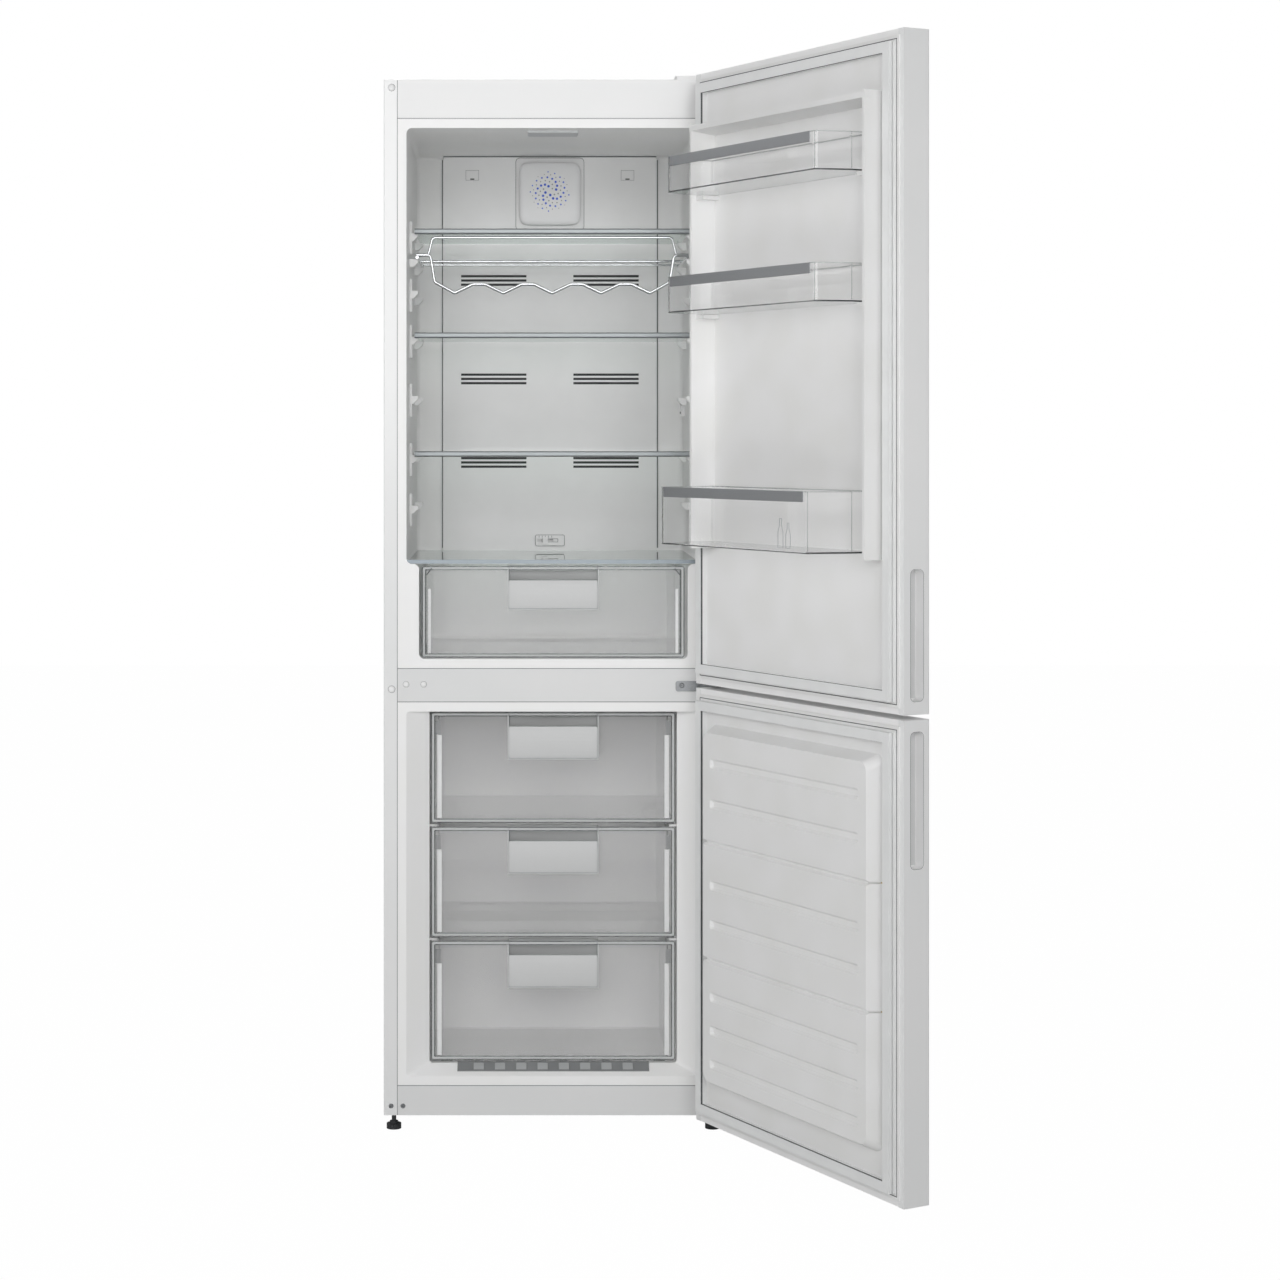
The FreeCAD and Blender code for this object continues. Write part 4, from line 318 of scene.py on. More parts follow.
# Upright edges of the drawers: a painted highlight, bright where the plastic leads the light to them.
EDGE_HIGHLIGHT = frosted("polystyrene_edge_painted_highlight", "#E9EAEA", "#ECEDED")
# Door bins: the clearest plastic, with faint grey edges of painted shade.
CRYSTAL = see_through("clear_crystal_polystyrene", "#FEFEFE", "#C9CCCC", "#F6F6F6", 1.36, 0.008)
# Rolled edges of the drawers: thick clear plastic, tinted grey as a painted dark line where the edge bends the
# light.
DARK_EDGE_LINE = see_through("clear_polystyrene_edge_painted_dark_line", "#B2B7B7", "#7E8383", "#D0D2D2", 1.5, 0.02, 60, 0.02)
# Rolled edges of the bins: thinner, tinted paler, as a painted line where the edge bends the light.
PALE_EDGE_LINE = see_through("clear_polystyrene_edge_painted_pale_line", "#EDEFEF", "#B4B8B8", "#E6E8E8", 1.4, 0.02, 60, 0.02)
# Grips of the drawers: milky white.
FROSTED = frosted("frosted_polystyrene_grip", "#DCDDDD", "#E0E1E1")
# Finger pockets behind the grips: milky, painted a shade darker as the shade inside them.
POCKET_SHADE = frosted("frosted_polystyrene_pocket_painted_shade", "#C0C1C1", "#C6C7C7")
# Bands of the door bins: silver lacquer with a grain 0.7 mm wide and 35 mm long.
SATIN_TRIM = metal("satin_silver_lacquered_trim", "#A3A5A8", "#AEB0B3", 0.34, 0.46, 0.7, (0.02, 1, 1))
# Strip on the crisper's lid: the same grain, bluish grey.
LID_TRIM = metal("grey_blue_anodised_lid_strip", "#7F868C", "#899095", 0.38, 0.48, 0.7, (0.02, 1, 1))
# Front trims of the shelves: brushed aluminium, darker and duller.
SHELF_TRIM = metal("clear_anodised_aluminium", "#8C9192", "#95999B", 0.42, 0.52, 0.7, (0.02, 1, 1))
# Bottle rack: near-mirror wire with sharp highlights.
CHROME = metal("bright_chromium_plate", "#C4C6C8", "#CCCED0", 0.09, 0.14, 6.0, depth_mm=0.004)
# Hinges and screws: grey zinc, softly mottled.
ZINC = metal("bright_zinc_plated_steel", "#828486", "#909294", 0.34, 0.46, 2.0)
# Evaporator fins: bright foil with upright rolling marks.
FINS = metal("aluminium_fin_stock", "#D9DBDC", "#E2E3E4", 0.25, 0.38, 1.5, (1, 1, 0.1))
GALVANISED = galvanised_sheet()
FOAM = poured_foam()

FINISHES = {
    STEEL: "side_panel_left side_panel_right top_panel fridge_door_skin freezer_door_skin",
    RAIL_STEEL_SHADED: "front_rails",
    LINER: "fridge_liner freezer_liner evaporator_cover",
    DOOR_LINER_SHADED: "fridge_door_liner freezer_door_liner",
    WHITE_ABS: "air_duct_cover damper_knob top_hinge_cover plug_caps fridge_door_caps freezer_door_caps",
    PILLOW_ABS: "fan_cover",
    SEAL: "fridge_door_gasket freezer_door_gasket",
    DARK_PP: "foot_left foot_right roller_left roller_right evaporator_fan fan_motor",
    TRAY_PP: "drip_tray",
    GRILLE_PP_SHADED: "lower_air_grille",
    RUBBER: "cord_inlet",
    BLACK_PAINT: "compressor condenser",
    LENS: "ceiling_lamp",
    GLASS: "shelf_glass_lower shelf_glass_middle shelf_glass_upper crisper_lid",
    CRYSTAL: "crisper_drawer freezer_drawer_lower freezer_drawer_middle freezer_drawer_upper "
             "door_bin_upper door_bin_middle bottle_bin",
    SHELF_TRIM: "shelf_trim_lower shelf_trim_middle shelf_trim_upper",
    SATIN_TRIM: "bin_band_upper bin_band_middle bottle_bin_band",
    CHROME: "bottle_rack",
    ZINC: "top_hinge middle_hinge bottom_hinge hinge_screws",
    FINS: "evaporator",
    GALVANISED: "back_panel base_plate",
    FOAM: "insulation_foam fridge_door_foam freezer_door_foam",
}
for finish, names in FINISHES.items():
    for name in names.split():
        NODES[name].data.materials.clear()
        NODES[name].data.materials.append(finish)


# ---------------------------------------------------------------- making pieces
def place_piece(name, mesh, body, sharp_angle=35):
    """Makes an object of a finished mesh and lets it ride. Edges under the angle are smooth, and 0 is all flat."""
    mesh.polygons.foreach_set("use_smooth", [sharp_angle > 0] * len(mesh.polygons))
    if sharp_angle:
        mesh.set_sharp_from_angle(angle=math.radians(sharp_angle))
    piece = bpy.data.objects.new(name, mesh)
    bpy.context.scene.collection.objects.link(piece)
    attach(piece, body)
    return piece


def finished_mesh(name, shape, *finishes):
    """The mesh of a bmesh shape, which is then freed, with its materials."""
    mesh = bpy.data.meshes.new(name)
    shape.to_mesh(mesh)
    shape.free()
    for finish in finishes:
        mesh.materials.append(finish)
    return mesh


def evaluated_mesh(maker, finish):
    """The evaluated mesh of an object, which is then thrown away, in one material."""
    bpy.context.view_layer.update()
    mesh = bpy.data.meshes.new_from_object(maker.evaluated_get(bpy.context.evaluated_depsgraph_get()))
    bpy.data.objects.remove(maker)
    mesh.materials.clear()
    mesh.materials.append(finish)
    return mesh


def bars(name, body, finish, boxes, move=Vector):
    """Small square bars, each from its lowest corner to its highest."""
    shape = bmesh.new()
    for x0, y0, z0, x1, y1, z1 in boxes:
        for vertex in bmesh.ops.create_cube(shape, size=1.0)["verts"]:
            corner = [a if side < 0 else b for side, a, b in zip(vertex.co, (x0, y0, z0), (x1, y1, z1))]
            vertex.co = move(at(*corner))
    return place_piece(name, finished_mesh(name, shape, finish), body)


def beads(name, body, finish, loops, radius, closed=True, move=Vector):
    """Round beads along lines of points."""
    curve = bpy.data.curves.new(name, "CURVE")
    curve.dimensions = "3D"
    curve.bevel_depth = radius * MM
    curve.bevel_resolution = 2
    curve.use_fill_caps = not closed
    for loop in loops:
        spline = curve.splines.new("POLY")
        spline.points.add(len(loop) - 1)
        spline.use_cyclic_u = closed
        for point, place in zip(spline.points, loop):
            point.co = [*move(at(*place)), 1.0]
    maker = bpy.data.objects.new(name + "_path", curve)
    bpy.context.scene.collection.objects.link(maker)
    return place_piece(name, evaluated_mesh(maker, finish), body, 60)


def rounded_loop(half, y, low, high, radius):
    """Points round an upright rectangle with round corners, four steps to a corner."""
    loop = []
    right, top, bottom = half - radius, high - radius, low + radius
    corners = ((right, top, 0), (-right, top, 90), (-right, bottom, 180), (right, bottom, 270))
    for middle_x, middle_z, start in corners:
        for step in range(5):
            angle = math.radians(start + 90 * step / 4)
            loop.append((middle_x + radius * math.cos(angle), y, middle_z + radius * math.sin(angle)))
    return loop


def copies(name, body, finish, spots, shape, sizes):
    """One shape, made by Geometry Nodes, at every spot: (place, aim of the shape's Z axis, scale)."""
    mesh = bpy.data.meshes.new(name + "_spots")
    mesh.from_pydata([place for place, aim, scale in spots], [], [])
    mesh.attributes.new("aim", "FLOAT_VECTOR", "POINT")
    mesh.attributes.new("scale", "FLOAT", "POINT")
    mesh.attributes["aim"].data.foreach_set("vector", [part for place, aim, scale in spots for part in aim])
    mesh.attributes["scale"].data.foreach_set("value", [scale for place, aim, scale in spots])
    tree = bpy.data.node_groups.new(name, "GeometryNodeTree")
    tree.interface.new_socket("Geometry", in_out="INPUT", socket_type="NodeSocketGeometry")
    sockets = {size: tree.interface.new_socket(size, in_out="INPUT", socket_type="NodeSocketFloat")
               for size in sizes}
    tree.interface.new_socket("Geometry", in_out="OUTPUT", socket_type="NodeSocketGeometry")
    entry = add(tree, "NodeGroupInput")
    points = add(tree, "GeometryNodeMeshToPoints", None, {"Mesh": entry.outputs["Geometry"]})
    aim = add(tree, "GeometryNodeInputNamedAttribute", {"data_type": "FLOAT_VECTOR", "Name": "aim"})
    turn = add(tree, "FunctionNodeAlignRotationToVector", {"axis": "Z"}, {"Vector": aim.outputs["Attribute"]})
    scale = add(tree, "GeometryNodeInputNamedAttribute", {"data_type": "FLOAT", "Name": "scale"})
    set_out = add(tree, "GeometryNodeInstanceOnPoints", None,
                  {"Points": points.outputs["Points"], "Instance": shape(tree, entry.outputs),
                   "Rotation": turn.outputs["Rotation"], "Scale": scale.outputs["Attribute"]})
    real = add(tree, "GeometryNodeRealizeInstances", None, {"Geometry": set_out.outputs["Instances"]})
    coated = add(tree, "GeometryNodeSetMaterial", {"Material": finish}, {"Geometry": real.outputs["Geometry"]})
    add(tree, "NodeGroupOutput", None, {"Geometry": coated.outputs["Geometry"]})
    maker = bpy.data.objects.new(name + "_maker", mesh)
    bpy.context.scene.collection.objects.link(maker)
    modifier = maker.modifiers.new(name, "NODES")
    modifier.node_group = tree
    for size, socket in sockets.items():
        modifier[socket.identifier] = sizes[size] * MM
    made = evaluated_mesh(maker, finish)
    made.polygons.foreach_set("material_index", [0] * len(made.polygons))
    return place_piece(name, made, body)


def flat_plate(tree, size):
    """A slot's dark lining of painted shade, or a grille tooth: Width by Height, with its Thickness along its aim.
    """
    extent = add(tree, "ShaderNodeCombineXYZ", None,
                 {"X": size["Width"], "Y": size["Height"], "Z": size["Thickness"]})
    return add(tree, "GeometryNodeMeshCube", None, {"Size": extent.outputs["Vector"]}).outputs["Mesh"]


def round_plate(tree, size):
    """A printed dot, or the shadow gap round a cap."""
    plate = add(tree, "GeometryNodeMeshCylinder", {"Vertices": 12},
                {"Radius": size["Radius"], "Depth": size["Thickness"]})
    return plate.outputs["Mesh"]


def cap_dome(tree, size):
    """A low round cap: a sphere pressed flat along its aim."""
    ball = add(tree, "GeometryNodeMeshUVSphere", {"Segments": 24, "Rings": 12}, {"Radius": size["Radius"]})
    pressed = add(tree, "GeometryNodeTransform", {"Scale": (1, 1, 0.5)}, {"Geometry": ball.outputs["Mesh"]})
    return pressed.outputs["Geometry"]


def support_pad(tree, size):
    """An eight-sided pad, turned flat side up and stretched upwards, so that its corners are cut."""
    plate = add(tree, "GeometryNodeMeshCylinder", {"Vertices": 8},
                {"Radius": size["Radius"], "Depth": size["Thickness"]})
    turned = add(tree, "GeometryNodeTransform", {"Rotation": (0, 0, math.radians(22.5))},
                 {"Geometry": plate.outputs["Mesh"]})
    tall = add(tree, "GeometryNodeTransform", {"Scale": (1.9, 1, 1)}, {"Geometry": turned.outputs["Geometry"]})
    return tall.outputs["Geometry"]


def screw_head(tree, size):
    """A pan-head screw: a low cone with a cross cut in it."""
    head = add(tree, "GeometryNodeMeshCone", {"Vertices": 24},
               {"Radius Top": size["Top"], "Radius Bottom": size["Radius"], "Depth": size["Height"]})
    cut = add(tree, "GeometryNodeMeshBoolean", {"operation": "DIFFERENCE"}, {"Mesh 1": head.outputs["Mesh"]})
    raised = add(tree, "ShaderNodeCombineXYZ", None, {"Z": size["Height"]})
    for across, along in (("Slot Length", "Slot Width"), ("Slot Width", "Slot Length")):
        extent = add(tree, "ShaderNodeCombineXYZ", None,
                     {"X": size[across], "Y": size[along], "Z": size["Height"]})
        bar = add(tree, "GeometryNodeMeshCube", None, {"Size": extent.outputs["Vector"]})
        cutter = add(tree, "GeometryNodeTransform", None,
                     {"Geometry": bar.outputs["Mesh"], "Translation": raised.outputs["Vector"]})
        tree.links.new(cutter.outputs["Geometry"], cut.inputs["Mesh 2"])
    return cut.outputs["Mesh"]


# ---------------------------------------------------------------- back wall of the fridge space
# Painted shade: dark linings behind the duct cover's air slots, where they lie in shadow, in three groups of three
# rows, on both sides.
SLOT_GROUPS = (343.0, 505.5, 697.0)
SLOT_MIDDLE, SLOT_PITCH, SLOT_DEPTH = 109.25, 8.3, 1.6
slots = [(at(side * SLOT_MIDDLE, DUCT_FACE + SLOT_DEPTH, FRIDGE_FLOOR + group + SLOT_PITCH * row), TO_FRONT, 1.0)
         for group in SLOT_GROUPS for row in (-1, 0, 1) for side in (-1, 1)]
copies("vent_slot_shade_linings", "cabinet", SLOT_SHADE_BLACK, slots, flat_plate,
       {"Width": 127.0, "Height": 4.4, "Thickness": 0.8})

# The fan cover's cushion: rings from the wall to the middle, each with its share of the full size and its place.
PILLOW_HALF_WIDTH, PILLOW_HALF_HEIGHT, PILLOW_MIDDLE = 60.0, 61.0, 1700.5
PILLOW_RINGS = ((1.0, 187.4), (1.0, 179.6), (0.992, 178.2), (0.975, 177.3), (0.93, 176.5), (0.83, 176.05),
                (0.65, 175.85), (0.4, 175.72), (0.1, 175.7))
PILLOW_SQUARENESS = 7.5
PILLOW_STEPS = 72


def pillow_fan_cover():
    """A closed cushion whose rings are circles squared off at four corners."""
    shape = bmesh.new()
    rings = []
    for share, y in PILLOW_RINGS:
        ring = []
        for step in range(PILLOW_STEPS):
            angle = 2 * math.pi * step / PILLOW_STEPS
            x, z = [math.copysign(abs(part) ** (2 / PILLOW_SQUARENESS), part) * half * share for part, half in
                    ((math.cos(angle), PILLOW_HALF_WIDTH), (math.sin(angle), PILLOW_HALF_HEIGHT))]
            ring.append(shape.verts.new(at(x, y, PILLOW_MIDDLE + z)))
        rings.append(ring)
    for outer, inner in zip(rings, rings[1:]):
        for step in range(PILLOW_STEPS):
            after = (step + 1) % PILLOW_STEPS
            shape.faces.new((outer[step], outer[after], inner[after], inner[step]))
    shape.faces.new(rings[0])
    shape.faces.new(rings[-1])
    bmesh.ops.recalc_face_normals(shape, faces=shape.faces)
    mesh = finished_mesh("pillow_fan_cover", shape, PILLOW_ABS)
    return place_piece("pillow_fan_cover", mesh, "cabinet", 50)


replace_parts(pillow_fan_cover(), "fan_cover")

# A sunflower spiral of printed dots on the fan cover, blue and grey by turns, smaller towards its rim.
GOLDEN_ANGLE = math.radians(137.508)
FIRST_DOT, DOTS, DOT_PITCH = 2, 76, 4.5
DOT_FACE, DOT_MIDDLE = 175.62, 1704.0
dots = []
for index in range(FIRST_DOT, DOTS):
    angle, reach = index * GOLDEN_ANGLE, DOT_PITCH * math.sqrt(index)
    place = at(reach * math.cos(angle), DOT_FACE, DOT_MIDDLE + reach * math.sin(angle))
    dots.append((place, TO_FRONT, 1.1 - 0.6 * index / DOTS))
copies("fan_cover_blue_dots", "cabinet", BLUE_INK, dots[::2], round_plate,
       {"Radius": 2.4, "Thickness": 0.5})
copies("fan_cover_grey_dots", "cabinet", SCREEN_INK, dots[1::2], round_plate,
       {"Radius": 1.4, "Thickness": 0.5})

# ---------------------------------------------------------------- fasteners
# Screws: two in the middle hinge, two at the lower left corner, two in the top hinge, two under the cabinet.
front_screws = ((227, -270.5, 789), (257, -270.5, 789), (-287, CABINET_FRONT, 45), (-266, CABINET_FRONT, 45))
screws = [(at(*place), TO_FRONT, 1.0) for place in front_screws]
screws += [(at(x, -241.5, 1863), UP, 1.0) for x in (234, 260)]
screws += [(at(x, -197.5, 25.5), DOWN, 1.0) for x in (250, 270)]
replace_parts(copies("cross_head_screws", "cabinet", ZINC, screws, screw_head,
                   {"Radius": 4.4, "Top": 3.0, "Height": 2.4, "Slot Length": 4.4, "Slot Width": 1.1}),
            "hinge_screws")

# Domed caps over the unused hinge holes on the left and in the middle rail: (x, height, scale).
CAPS = ((-286, 1846.0, 1.0), (-286, 782.0, 1.0), (-260.5, 790.5, 0.85), (-229.5, 790.5, 0.85))
caps = [(at(x, CABINET_FRONT, height), TO_FRONT, scale) for x, height, scale in CAPS]
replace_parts(copies("domed_plug_caps", "cabinet", WHITE_ABS, caps, cap_dome, {"Radius": 6.0}),
            "plug_caps")
# A grey ring of painted shade round each cap, where it stands off the painted rail.
gaps = [(at(x, CABINET_FRONT - 0.05, height), TO_FRONT, scale) for x, height, scale in CAPS]
copies("plug_cap_shadow_gaps", "cabinet", JOINT_SHADE_GREY, gaps, round_plate,
       {"Radius": 6.6, "Thickness": 0.3})

# ---------------------------------------------------------------- linings, pads and joint lines
# Moulded pads round the shelf supports on both side walls. Their middles are 12.3 mm below the shelves.
SHELF_HEIGHTS = (363.5, 579.5, 768.5, 271.5, 471.5, 663.5)
PAD_FACE, PAD_Y, PAD_DROP = 258.6, -113.5, 12.3
pads = [(at(side * PAD_FACE, PAD_Y, FRIDGE_FLOOR + height - PAD_DROP), (-side, 0, 0), 1.0)
        for height in SHELF_HEIGHTS for side in (-1, 1)]
copies("support_pads", "cabinet", LINER, pads, support_pad, {"Radius": 17.0, "Thickness": 6.0})

# The grille's teeth, evenly spaced on the slope of the freezer's mouth, painted paler as the light on them.
GRILLE_HALF, TEETH = 170, 8
MOUTH_SLOPE = (0, -0.547, 0.837)
teeth = [(at(2 * GRILLE_HALF / (TEETH + 1) * (index + 1) - GRILLE_HALF, -251.2, 111.4), MOUTH_SLOPE, 1.0)
         for index in range(TEETH)]
copies("grille_teeth", "cabinet", TOOTH_PP_LIT, teeth, flat_plate,
       {"Width": 18.0, "Height": 15.0, "Thickness": 0.8})

# Where the liners meet the rails and the folded side panels, grey lines of painted shade that stand 0.15 mm out of
# the front.
line_front, line_back = CABINET_FRONT - 0.15, CABINET_FRONT + 0.2
lines = [(-OPENING_HALF, line_front, height - 0.6, OPENING_HALF, line_back, height + 0.6)
         for height in (81, 759.5, 818.5, 1791.5)]
lines += [(x - 0.5, line_front, 29, x + 0.5, line_back, 1859) for x in (-OPENING_HALF, OPENING_HALF)]
bars("front_joint_shade_lines", "cabinet", JOINT_SHADE_GREY, lines)

# Grey lines of painted shade beside and above the duct cover, a dark slit of painted shade in each of its clips and
# one in the sensor cover on the right wall, and the plate behind the damper's knob.
CLIP_MIDDLES = (-151, 151)
bars("duct_joint_shade_lines", "cabinet", JOINT_SHADE_GREY,
     [(-210.4, 202.0, 1012, -208, 202.45, 1773), (208, 202.0, 1012, 211.2, 202.45, 1773),
      (-207, 187.2, 1772.2, 207, 187.6, 1774.2)])
bars("clip_slits", "cabinet", SLOT_SHADE_BLACK,
     [(x - 4, 187.9, 1728.6, x + 4, 188.25, 1730.8) for x in CLIP_MIDDLES])
bars("sensor_slit", "cabinet", SLOT_SHADE_BLACK, [(251.75, 151, 1273, 252.2, 168, 1277)])
bars("damper_backing", "cabinet", WHITE_ABS, [(-26, 192.0, 1021.5, 8, 193.0, 1032.5)])

# Grey outlines of painted shade round the fan cover's recess, the damper's panel and slot, and the clips, then the
# damper's scale.
RECESS_Y, DAMPER_Y = 187.45, 183.45
beads("duct_recess_shade_lines", "cabinet", JOINT_SHADE_GREY,
      [rounded_loop(66.3, RECESS_Y, 1630.2, 1770.8, 8), rounded_loop(28.2, DAMPER_Y, 1016.4, 1037.6, 3),
       rounded_loop(15.4, DAMPER_Y, 1023.9, 1030.1, 0.5)], 0.45)
clip_corners = ((-12.5, 1727.5), (12.5, 1727.5), (12.5, 1746.5), (-12.5, 1746.5))
beads("clip_shade_outlines", "cabinet", JOINT_SHADE_GREY,
      [[(x + dx, RECESS_Y, height) for dx, height in clip_corners] for x in CLIP_MIDDLES], 0.35)
bars("damper_ticks", "cabinet", SCREEN_INK,
     [(x - 0.5, 183.25, 1032.2, x + 0.5, 183.6, 1036.2) for x in (-21, -15, -9, -3, 3)])
bars("lid_front_trim", "cabinet", LID_TRIM, [(-259.2, -264.2, 1003.9, 259.2, -262.6, 1010.6)])

# ---------------------------------------------------------------- doors
# The grips in the doors' free ends: a grey line of painted shade at the rounded lip of each opening, and the tub's
# bottom painted pale grey as shade.
FREE_END, GRIP_MIDDLE = -298.1, -307.5
for door, low, high in (("fridge_door", 820, 1023), ("freezer_door", 561, 772)):
    lip = [(FREE_END, GRIP_MIDDLE + across, height)
           for across, y, height in rounded_loop(12.6, 0, low - 0.6, high + 0.6, 8)]
    beads(door + "_grip_lip_shade", door, JOINT_SHADE_GREY, [lip], 0.35, move=opened)
    bars(door + "_grip_bottom", door, TUB_SHADE_GREY,
         [(-278.6, GRIP_MIDDLE - 11, low + 3, -278.05, GRIP_MIDDLE + 11, high - 3)], opened)

# Each door's seal: a dark seam of painted shade on the bellows' inner wall, and one in the fold outside it.
# A seam is (how far in from the door's edge, its width, its two faces).
DOOR_HALF = 298
SEAMS = ((36.0, 0.35, -272.2, -268.9), (15.0, 1.2, -280.7, -280.2))
for door, bottom, top in (("fridge_door", 799, 1859), ("freezer_door", 39, 791)):
    seams = []
    for inset, width, y0, y1 in SEAMS:
        x0, x1 = DOOR_HALF - inset - width, DOOR_HALF - inset
        low, high = bottom + inset, top - inset
        seams += [(x0, y0, low, x1, y1, high), (-x1, y0, low, -x0, y1, high)]
        seams += [(-x0, y0, low, x0, y1, low + width), (-x0, y0, high - width, x0, y1, high)]
    bars(door + "_seal_seam_shades", door, SEAM_SHADE_GREY, seams, opened)


# ---------------------------------------------------------------- drawers
# (drawer, half width, bottom, top, front face, how far the grip reaches below the top)
DRAWERS = (
    ("crisper_drawer", 233.5, 835.8, 998.8, -245.5, 76),
    ("freezer_drawer_lower", 217.5, 119, 331, -237.5, 82),
    ("freezer_drawer_middle", 217.5, 338, 534, -237.5, 82),
    ("freezer_drawer_upper", 217.5, 541, 738, -237.5, 82),
)
GRIP_HALF = 78.5
POCKET_HALF, POCKET_DEPTH, POCKET_BELOW_GRIP, FRONT_WALL = 81.8, 31, 4, 3
BAND_INSET, BAND_WIDTH = 2.2, 3.4


def drawer_with_frosted_grip(node, top, grip, front, clear):
    """A copy of a clear drawer whose grip and finger pocket have their own milky finishes, the pocket's painted
    darker as shade.
    """
    shape = bmesh.new()
    shape.from_mesh(NODES[node].data)
    bmesh.ops.remove_doubles(shape, verts=shape.verts, dist=1e-6)
    pocket_bottom = (top - grip - POCKET_BELOW_GRIP) * MM + FLOOR
    pocket_back, grip_back = (front + POCKET_DEPTH) * MM, (front + FRONT_WALL) * MM
    for face in shape.faces:
        corners = [vertex.co for vertex in face.verts]
        if all(abs(x) < POCKET_HALF * MM and y < pocket_back and pocket_bottom < z for x, y, z in corners):
            face.material_index = 1 if max(y for x, y, z in corners) < grip_back else 2
    mesh = finished_mesh(node + "_clear", shape, clear, FROSTED, POCKET_SHADE)
    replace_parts(place_piece(node + "_clear", mesh, BODY_OF[node], 0), node)


for node, half, bottom, top, front, grip in DRAWERS:
    body, crisper = BODY_OF[node], node == "crisper_drawer"
    drawer_with_frosted_grip(node, top, grip, front, CRISPER_CLEAR if crisper else DRAWER_CLEAR_SHADED)
    # The front's frame: an outer and an inner rolled edge, tinted grey as painted lines of shade, and a band
    # between, painted grey-white as light.
    edges = [rounded_loop(half - inset, front + 0.3, bottom + inset, top - inset, radius)
             for inset, radius in ((0.9, 4.5), (6.6, 2.0))]
    beads(node + "_frame", body, DARK_EDGE_LINE, edges, 0.9)
    outer, inner = half - BAND_INSET, half - BAND_INSET - BAND_WIDTH
    low, high = bottom + BAND_INSET, top - BAND_INSET
    bands = [(x0, front - 0.1, low + BAND_WIDTH, x1, front + 0.2, high - BAND_WIDTH)
             for x0, x1 in ((-outer, -inner), (inner, outer))]
    bands += [(-outer, front - 0.1, z, outer, front + 0.2, z + BAND_WIDTH) for z in (low, high - BAND_WIDTH)]
    bars(node + "_frame_band", body, FRAME_LIGHT_BAND, bands)
    # Behind the front, the upright edges of the side walls, bright with a painted highlight.
    near, far = half - 11, half - (16 if crisper else 19)
    behind, behind_end = front + 3.4, front + 4.6
    uprights = [(x0, behind, bottom + 8, x1, behind_end, top - 41) for x0, x1 in ((-near, -far), (far, near))]
    bars(node + "_side_edges", body, EDGE_HIGHLIGHT, uprights)
    face = front - 0.3
    if crisper:
        # Dark slits of painted shade at the crisper front's upper corners.
        slits = [[(side * 225, face, top - 16), (side * 216, face, top - 4)] for side in (-1, 1)]
        beads("crisper_corner_slits", body, SEAM_SHADE_GREY, slits, 0.8, closed=False)
    else:
        # The brackets are drawn in the grey of painted shade.
        brackets = [(x0, behind, top - 40, x1, behind_end, top - 15)
                    for x0, x1 in ((8 - half, 17 - half), (half - 17, half - 8))]
        bars(node + "_corner_brackets", body, JOINT_SHADE_GREY, brackets)
    # Grey lines of painted shade along the grip's edges.
    outline = [[(x, face, top - 2), (x, face, top - grip)] for x in (-GRIP_HALF, GRIP_HALF)]
    outline += [[(-GRIP_HALF, face, z), (GRIP_HALF, face, z)] for z in (top - 25, top - grip)]
    beads(node + "_grip_edges", body, DARK_EDGE_LINE, outline, 0.7, closed=False)


# ---------------------------------------------------------------- door bins
# (bin, bottom, height, how far its front is from the liner)
BINS = (("door_bin_upper", 1642, 61, 110), ("door_bin_middle", 1438, 61, 110), ("bottle_bin", 1047, 97, 123))
BIN_LINER, BIN_BACK, BIN_BEND, BIN_HALF, BIN_FRONT_HALF = -282.5, -275.5, -230.5, 234, 216


def bin_rim(height, reach):
    """Points round a bin: straight sides from the back, then slanted ones, and small chamfers at the front."""
    front = BIN_LINER + reach
    slant = (BIN_HALF - BIN_FRONT_HALF) / (front - BIN_BEND)
    right = [(BIN_HALF, BIN_BACK), (BIN_HALF, BIN_BEND), (BIN_FRONT_HALF + 6.3 * slant, front - 6.3),
             (BIN_FRONT_HALF - 1.5, front - 1.6), (BIN_FRONT_HALF - 6.6, front)]
    return [(x, y, height) for x, y in right] + [(-x, y, height) for x, y in reversed(right)]


for node, bottom, height, reach in BINS:
    # Rims and corners tinted as painted lines where the edges bend the light.
    rims = [bin_rim(bottom + height - 0.8, reach), bin_rim(bottom + 0.9, reach)]
    beads(node + "_rims", BODY_OF[node], PALE_EDGE_LINE, rims, 0.8, move=opened)
    uprights = [(x, y) for x in (-BIN_HALF, BIN_HALF) for y in (BIN_BACK, BIN_BEND)]
    uprights += [(x, BIN_LINER + reach - 2) for x in (-213.5, 213.5)]
    corners = [[(x, y, bottom + 1), (x, y, bottom + height - 1)] for x, y in uprights]
    beads(node + "_corners", BODY_OF[node], PALE_EDGE_LINE, corners, 0.6, closed=False, move=opened)

# Two plain bottle outlines printed on the bottle bin's front: (middle, width, height) of each.
BOTTLE = ((-7, 0), (7, 0), (7, 24), (2.6, 34), (2.6, 44), (-2.6, 44), (-2.6, 34), (-7, 24))
PRINT_FACE, PRINT_BOTTOM = -159.35, 1054
bottles = [[(middle + x * wide, PRINT_FACE, PRINT_BOTTOM + z * tall) for x, z in BOTTLE]
           for middle, wide, tall in ((-143, 1.0, 1.05), (-164, 0.9, 0.9))]
beads("bottle_outlines", "bottle_bin", SCREEN_INK, bottles, 0.45, move=opened)


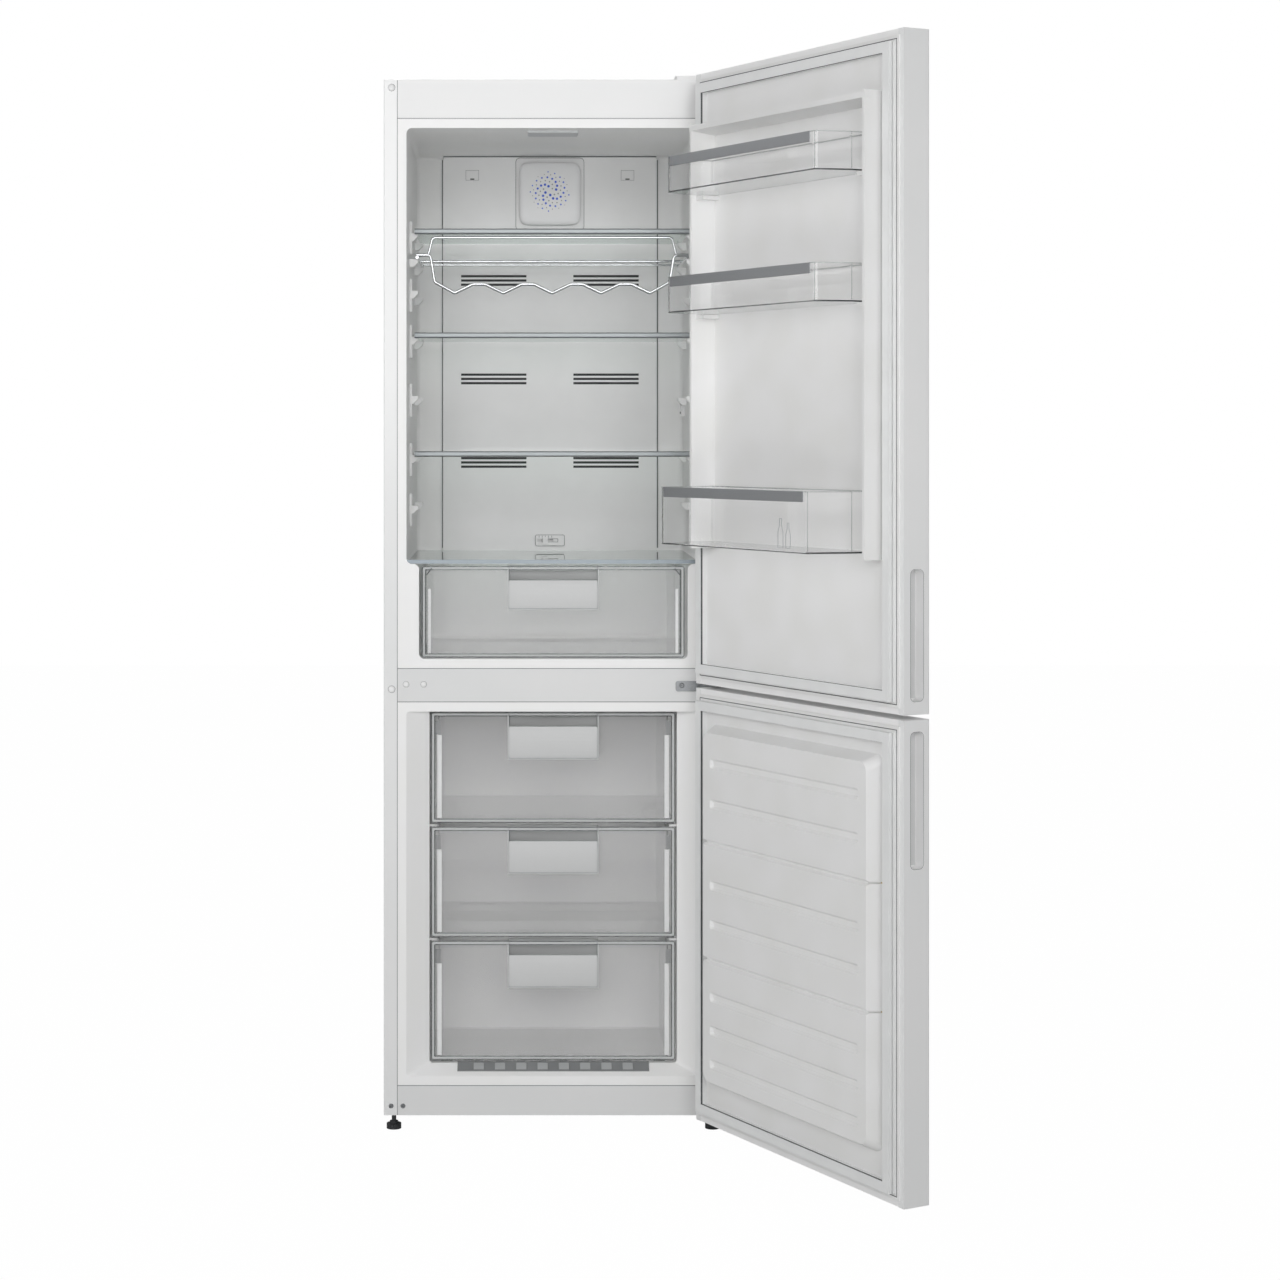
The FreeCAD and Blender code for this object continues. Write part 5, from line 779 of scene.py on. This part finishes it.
# ---------------------------------------------------------------- studio
def floor_and_backdrop():
    """A plain pale floor, 18 m square. To the camera it is 99 parts white and one part lit, with the shadow."""
    half, lit_share = 9, 0.01
    mesh = bpy.data.meshes.new("floor")
    mesh.from_pydata([(x, y, FLOOR) for x, y in ((-half, -half), (half, -half), (half, half), (-half, half))],
                     [], [(0, 1, 2, 3)])
    floor = bpy.data.objects.new("floor", mesh)
    bpy.context.scene.collection.objects.link(floor)
    material, tree, output, place = new_material("pale_studio_floor")
    matte = add(tree, "ShaderNodeBsdfDiffuse", {"Color": colour("#F4F4F4")})
    white = add(tree, "ShaderNodeEmission", {"Color": (1, 1, 1, 1), "Strength": 1.0})
    path = add(tree, "ShaderNodeLightPath")
    white_share = add(tree, "ShaderNodeMath", {"operation": "MULTIPLY", 1: 1 - lit_share},
                      {0: path.outputs["Is Camera Ray"]})
    mixed = add(tree, "ShaderNodeMixShader", None,
                {0: white_share.outputs["Value"], 1: matte.outputs["BSDF"], 2: white.outputs["Emission"]})
    tree.links.new(mixed.outputs["Shader"], output.inputs["Surface"])
    mesh.materials.append(material)


def surround():
    """White to the camera and through glass, white above and greyer below in reflections, dim as a lamp."""
    world = bpy.data.worlds.new("studio")
    bpy.context.scene.world = world
    world.use_nodes = True
    tree = world.node_tree
    tree.nodes.clear()
    output = add(tree, "ShaderNodeOutputWorld")
    path = add(tree, "ShaderNodeLightPath")
    seen = add(tree, "ShaderNodeMath", {"operation": "MAXIMUM"},
               {0: path.outputs["Is Camera Ray"], 1: path.outputs["Is Transmission Ray"]})
    direct = add(tree, "ShaderNodeMapRange", {"To Min": 0.3, "To Max": 1.0}, {"Value": seen.outputs["Value"]})
    generated = add(tree, "ShaderNodeTexCoord").outputs["Generated"]
    toward = add(tree, "ShaderNodeSeparateXYZ", None, {"Vector": generated})
    mirrored = add(tree, "ShaderNodeMapRange", {"From Min": -0.15, "From Max": 0.8, "To Min": 0.38, "To Max": 1.0},
                   {"Value": toward.outputs["Z"]})
    strength = add(tree, "ShaderNodeMix", None, {"Factor": path.outputs["Is Glossy Ray"],
                                                 "A": direct.outputs["Result"], "B": mirrored.outputs["Result"]})
    back = add(tree, "ShaderNodeBackground", {"Color": (1, 1, 1, 1)}, {"Strength": strength.outputs["Result"]})
    tree.links.new(back.outputs["Background"], output.inputs["Surface"])


def softbox(name, place, target, size, watts, beam_degrees=180):
    """A rectangular lamp at a place in metres, turned to its target. A narrower beam is also a stronger one."""
    light = bpy.data.lights.new(name, "AREA")
    light.spread = math.radians(beam_degrees)
    light.shape = "RECTANGLE"
    light.size, light.size_y = size
    light.energy = watts
    lamp = bpy.data.objects.new(name, light)
    bpy.context.scene.collection.objects.link(lamp)
    lamp.location = place
    lamp.rotation_euler = (Vector(target) - Vector(place)).to_track_quat("-Z", "Y").to_euler()


def camera():
    """Level, a little left of the middle at 1.23 m above the floor, with its lens shifted down and to the right."""
    data = bpy.data.cameras.new("camera")
    data.lens = 72.25
    data.sensor_width = 36
    data.shift_x = 0.0977
    data.shift_y = -0.1586
    eye = bpy.data.objects.new("camera", data)
    bpy.context.scene.collection.objects.link(eye)
    eye.location = (-0.068, -4.8105, 1.1995)
    eye.rotation_euler = (math.radians(90), 0, 0)
    bpy.context.scene.camera = eye


bpy.context.scene.view_settings.view_transform = "Standard"
floor_and_backdrop()
surround()
softbox("front_softbox", (-0.1, -5.6, 2.2), (0, 0, 1.0), (3.6, 2.2), 106)
softbox("left_softbox", (-4.2, -2.8, 2.2), (0.3, -0.5, 0.9), (2.2, 2.2), 38)
softbox("low_softbox", (-0.05, -3.2, 0.25), (0, 0, 1.75), (1.2, 0.6), 0.65, 40)
camera()
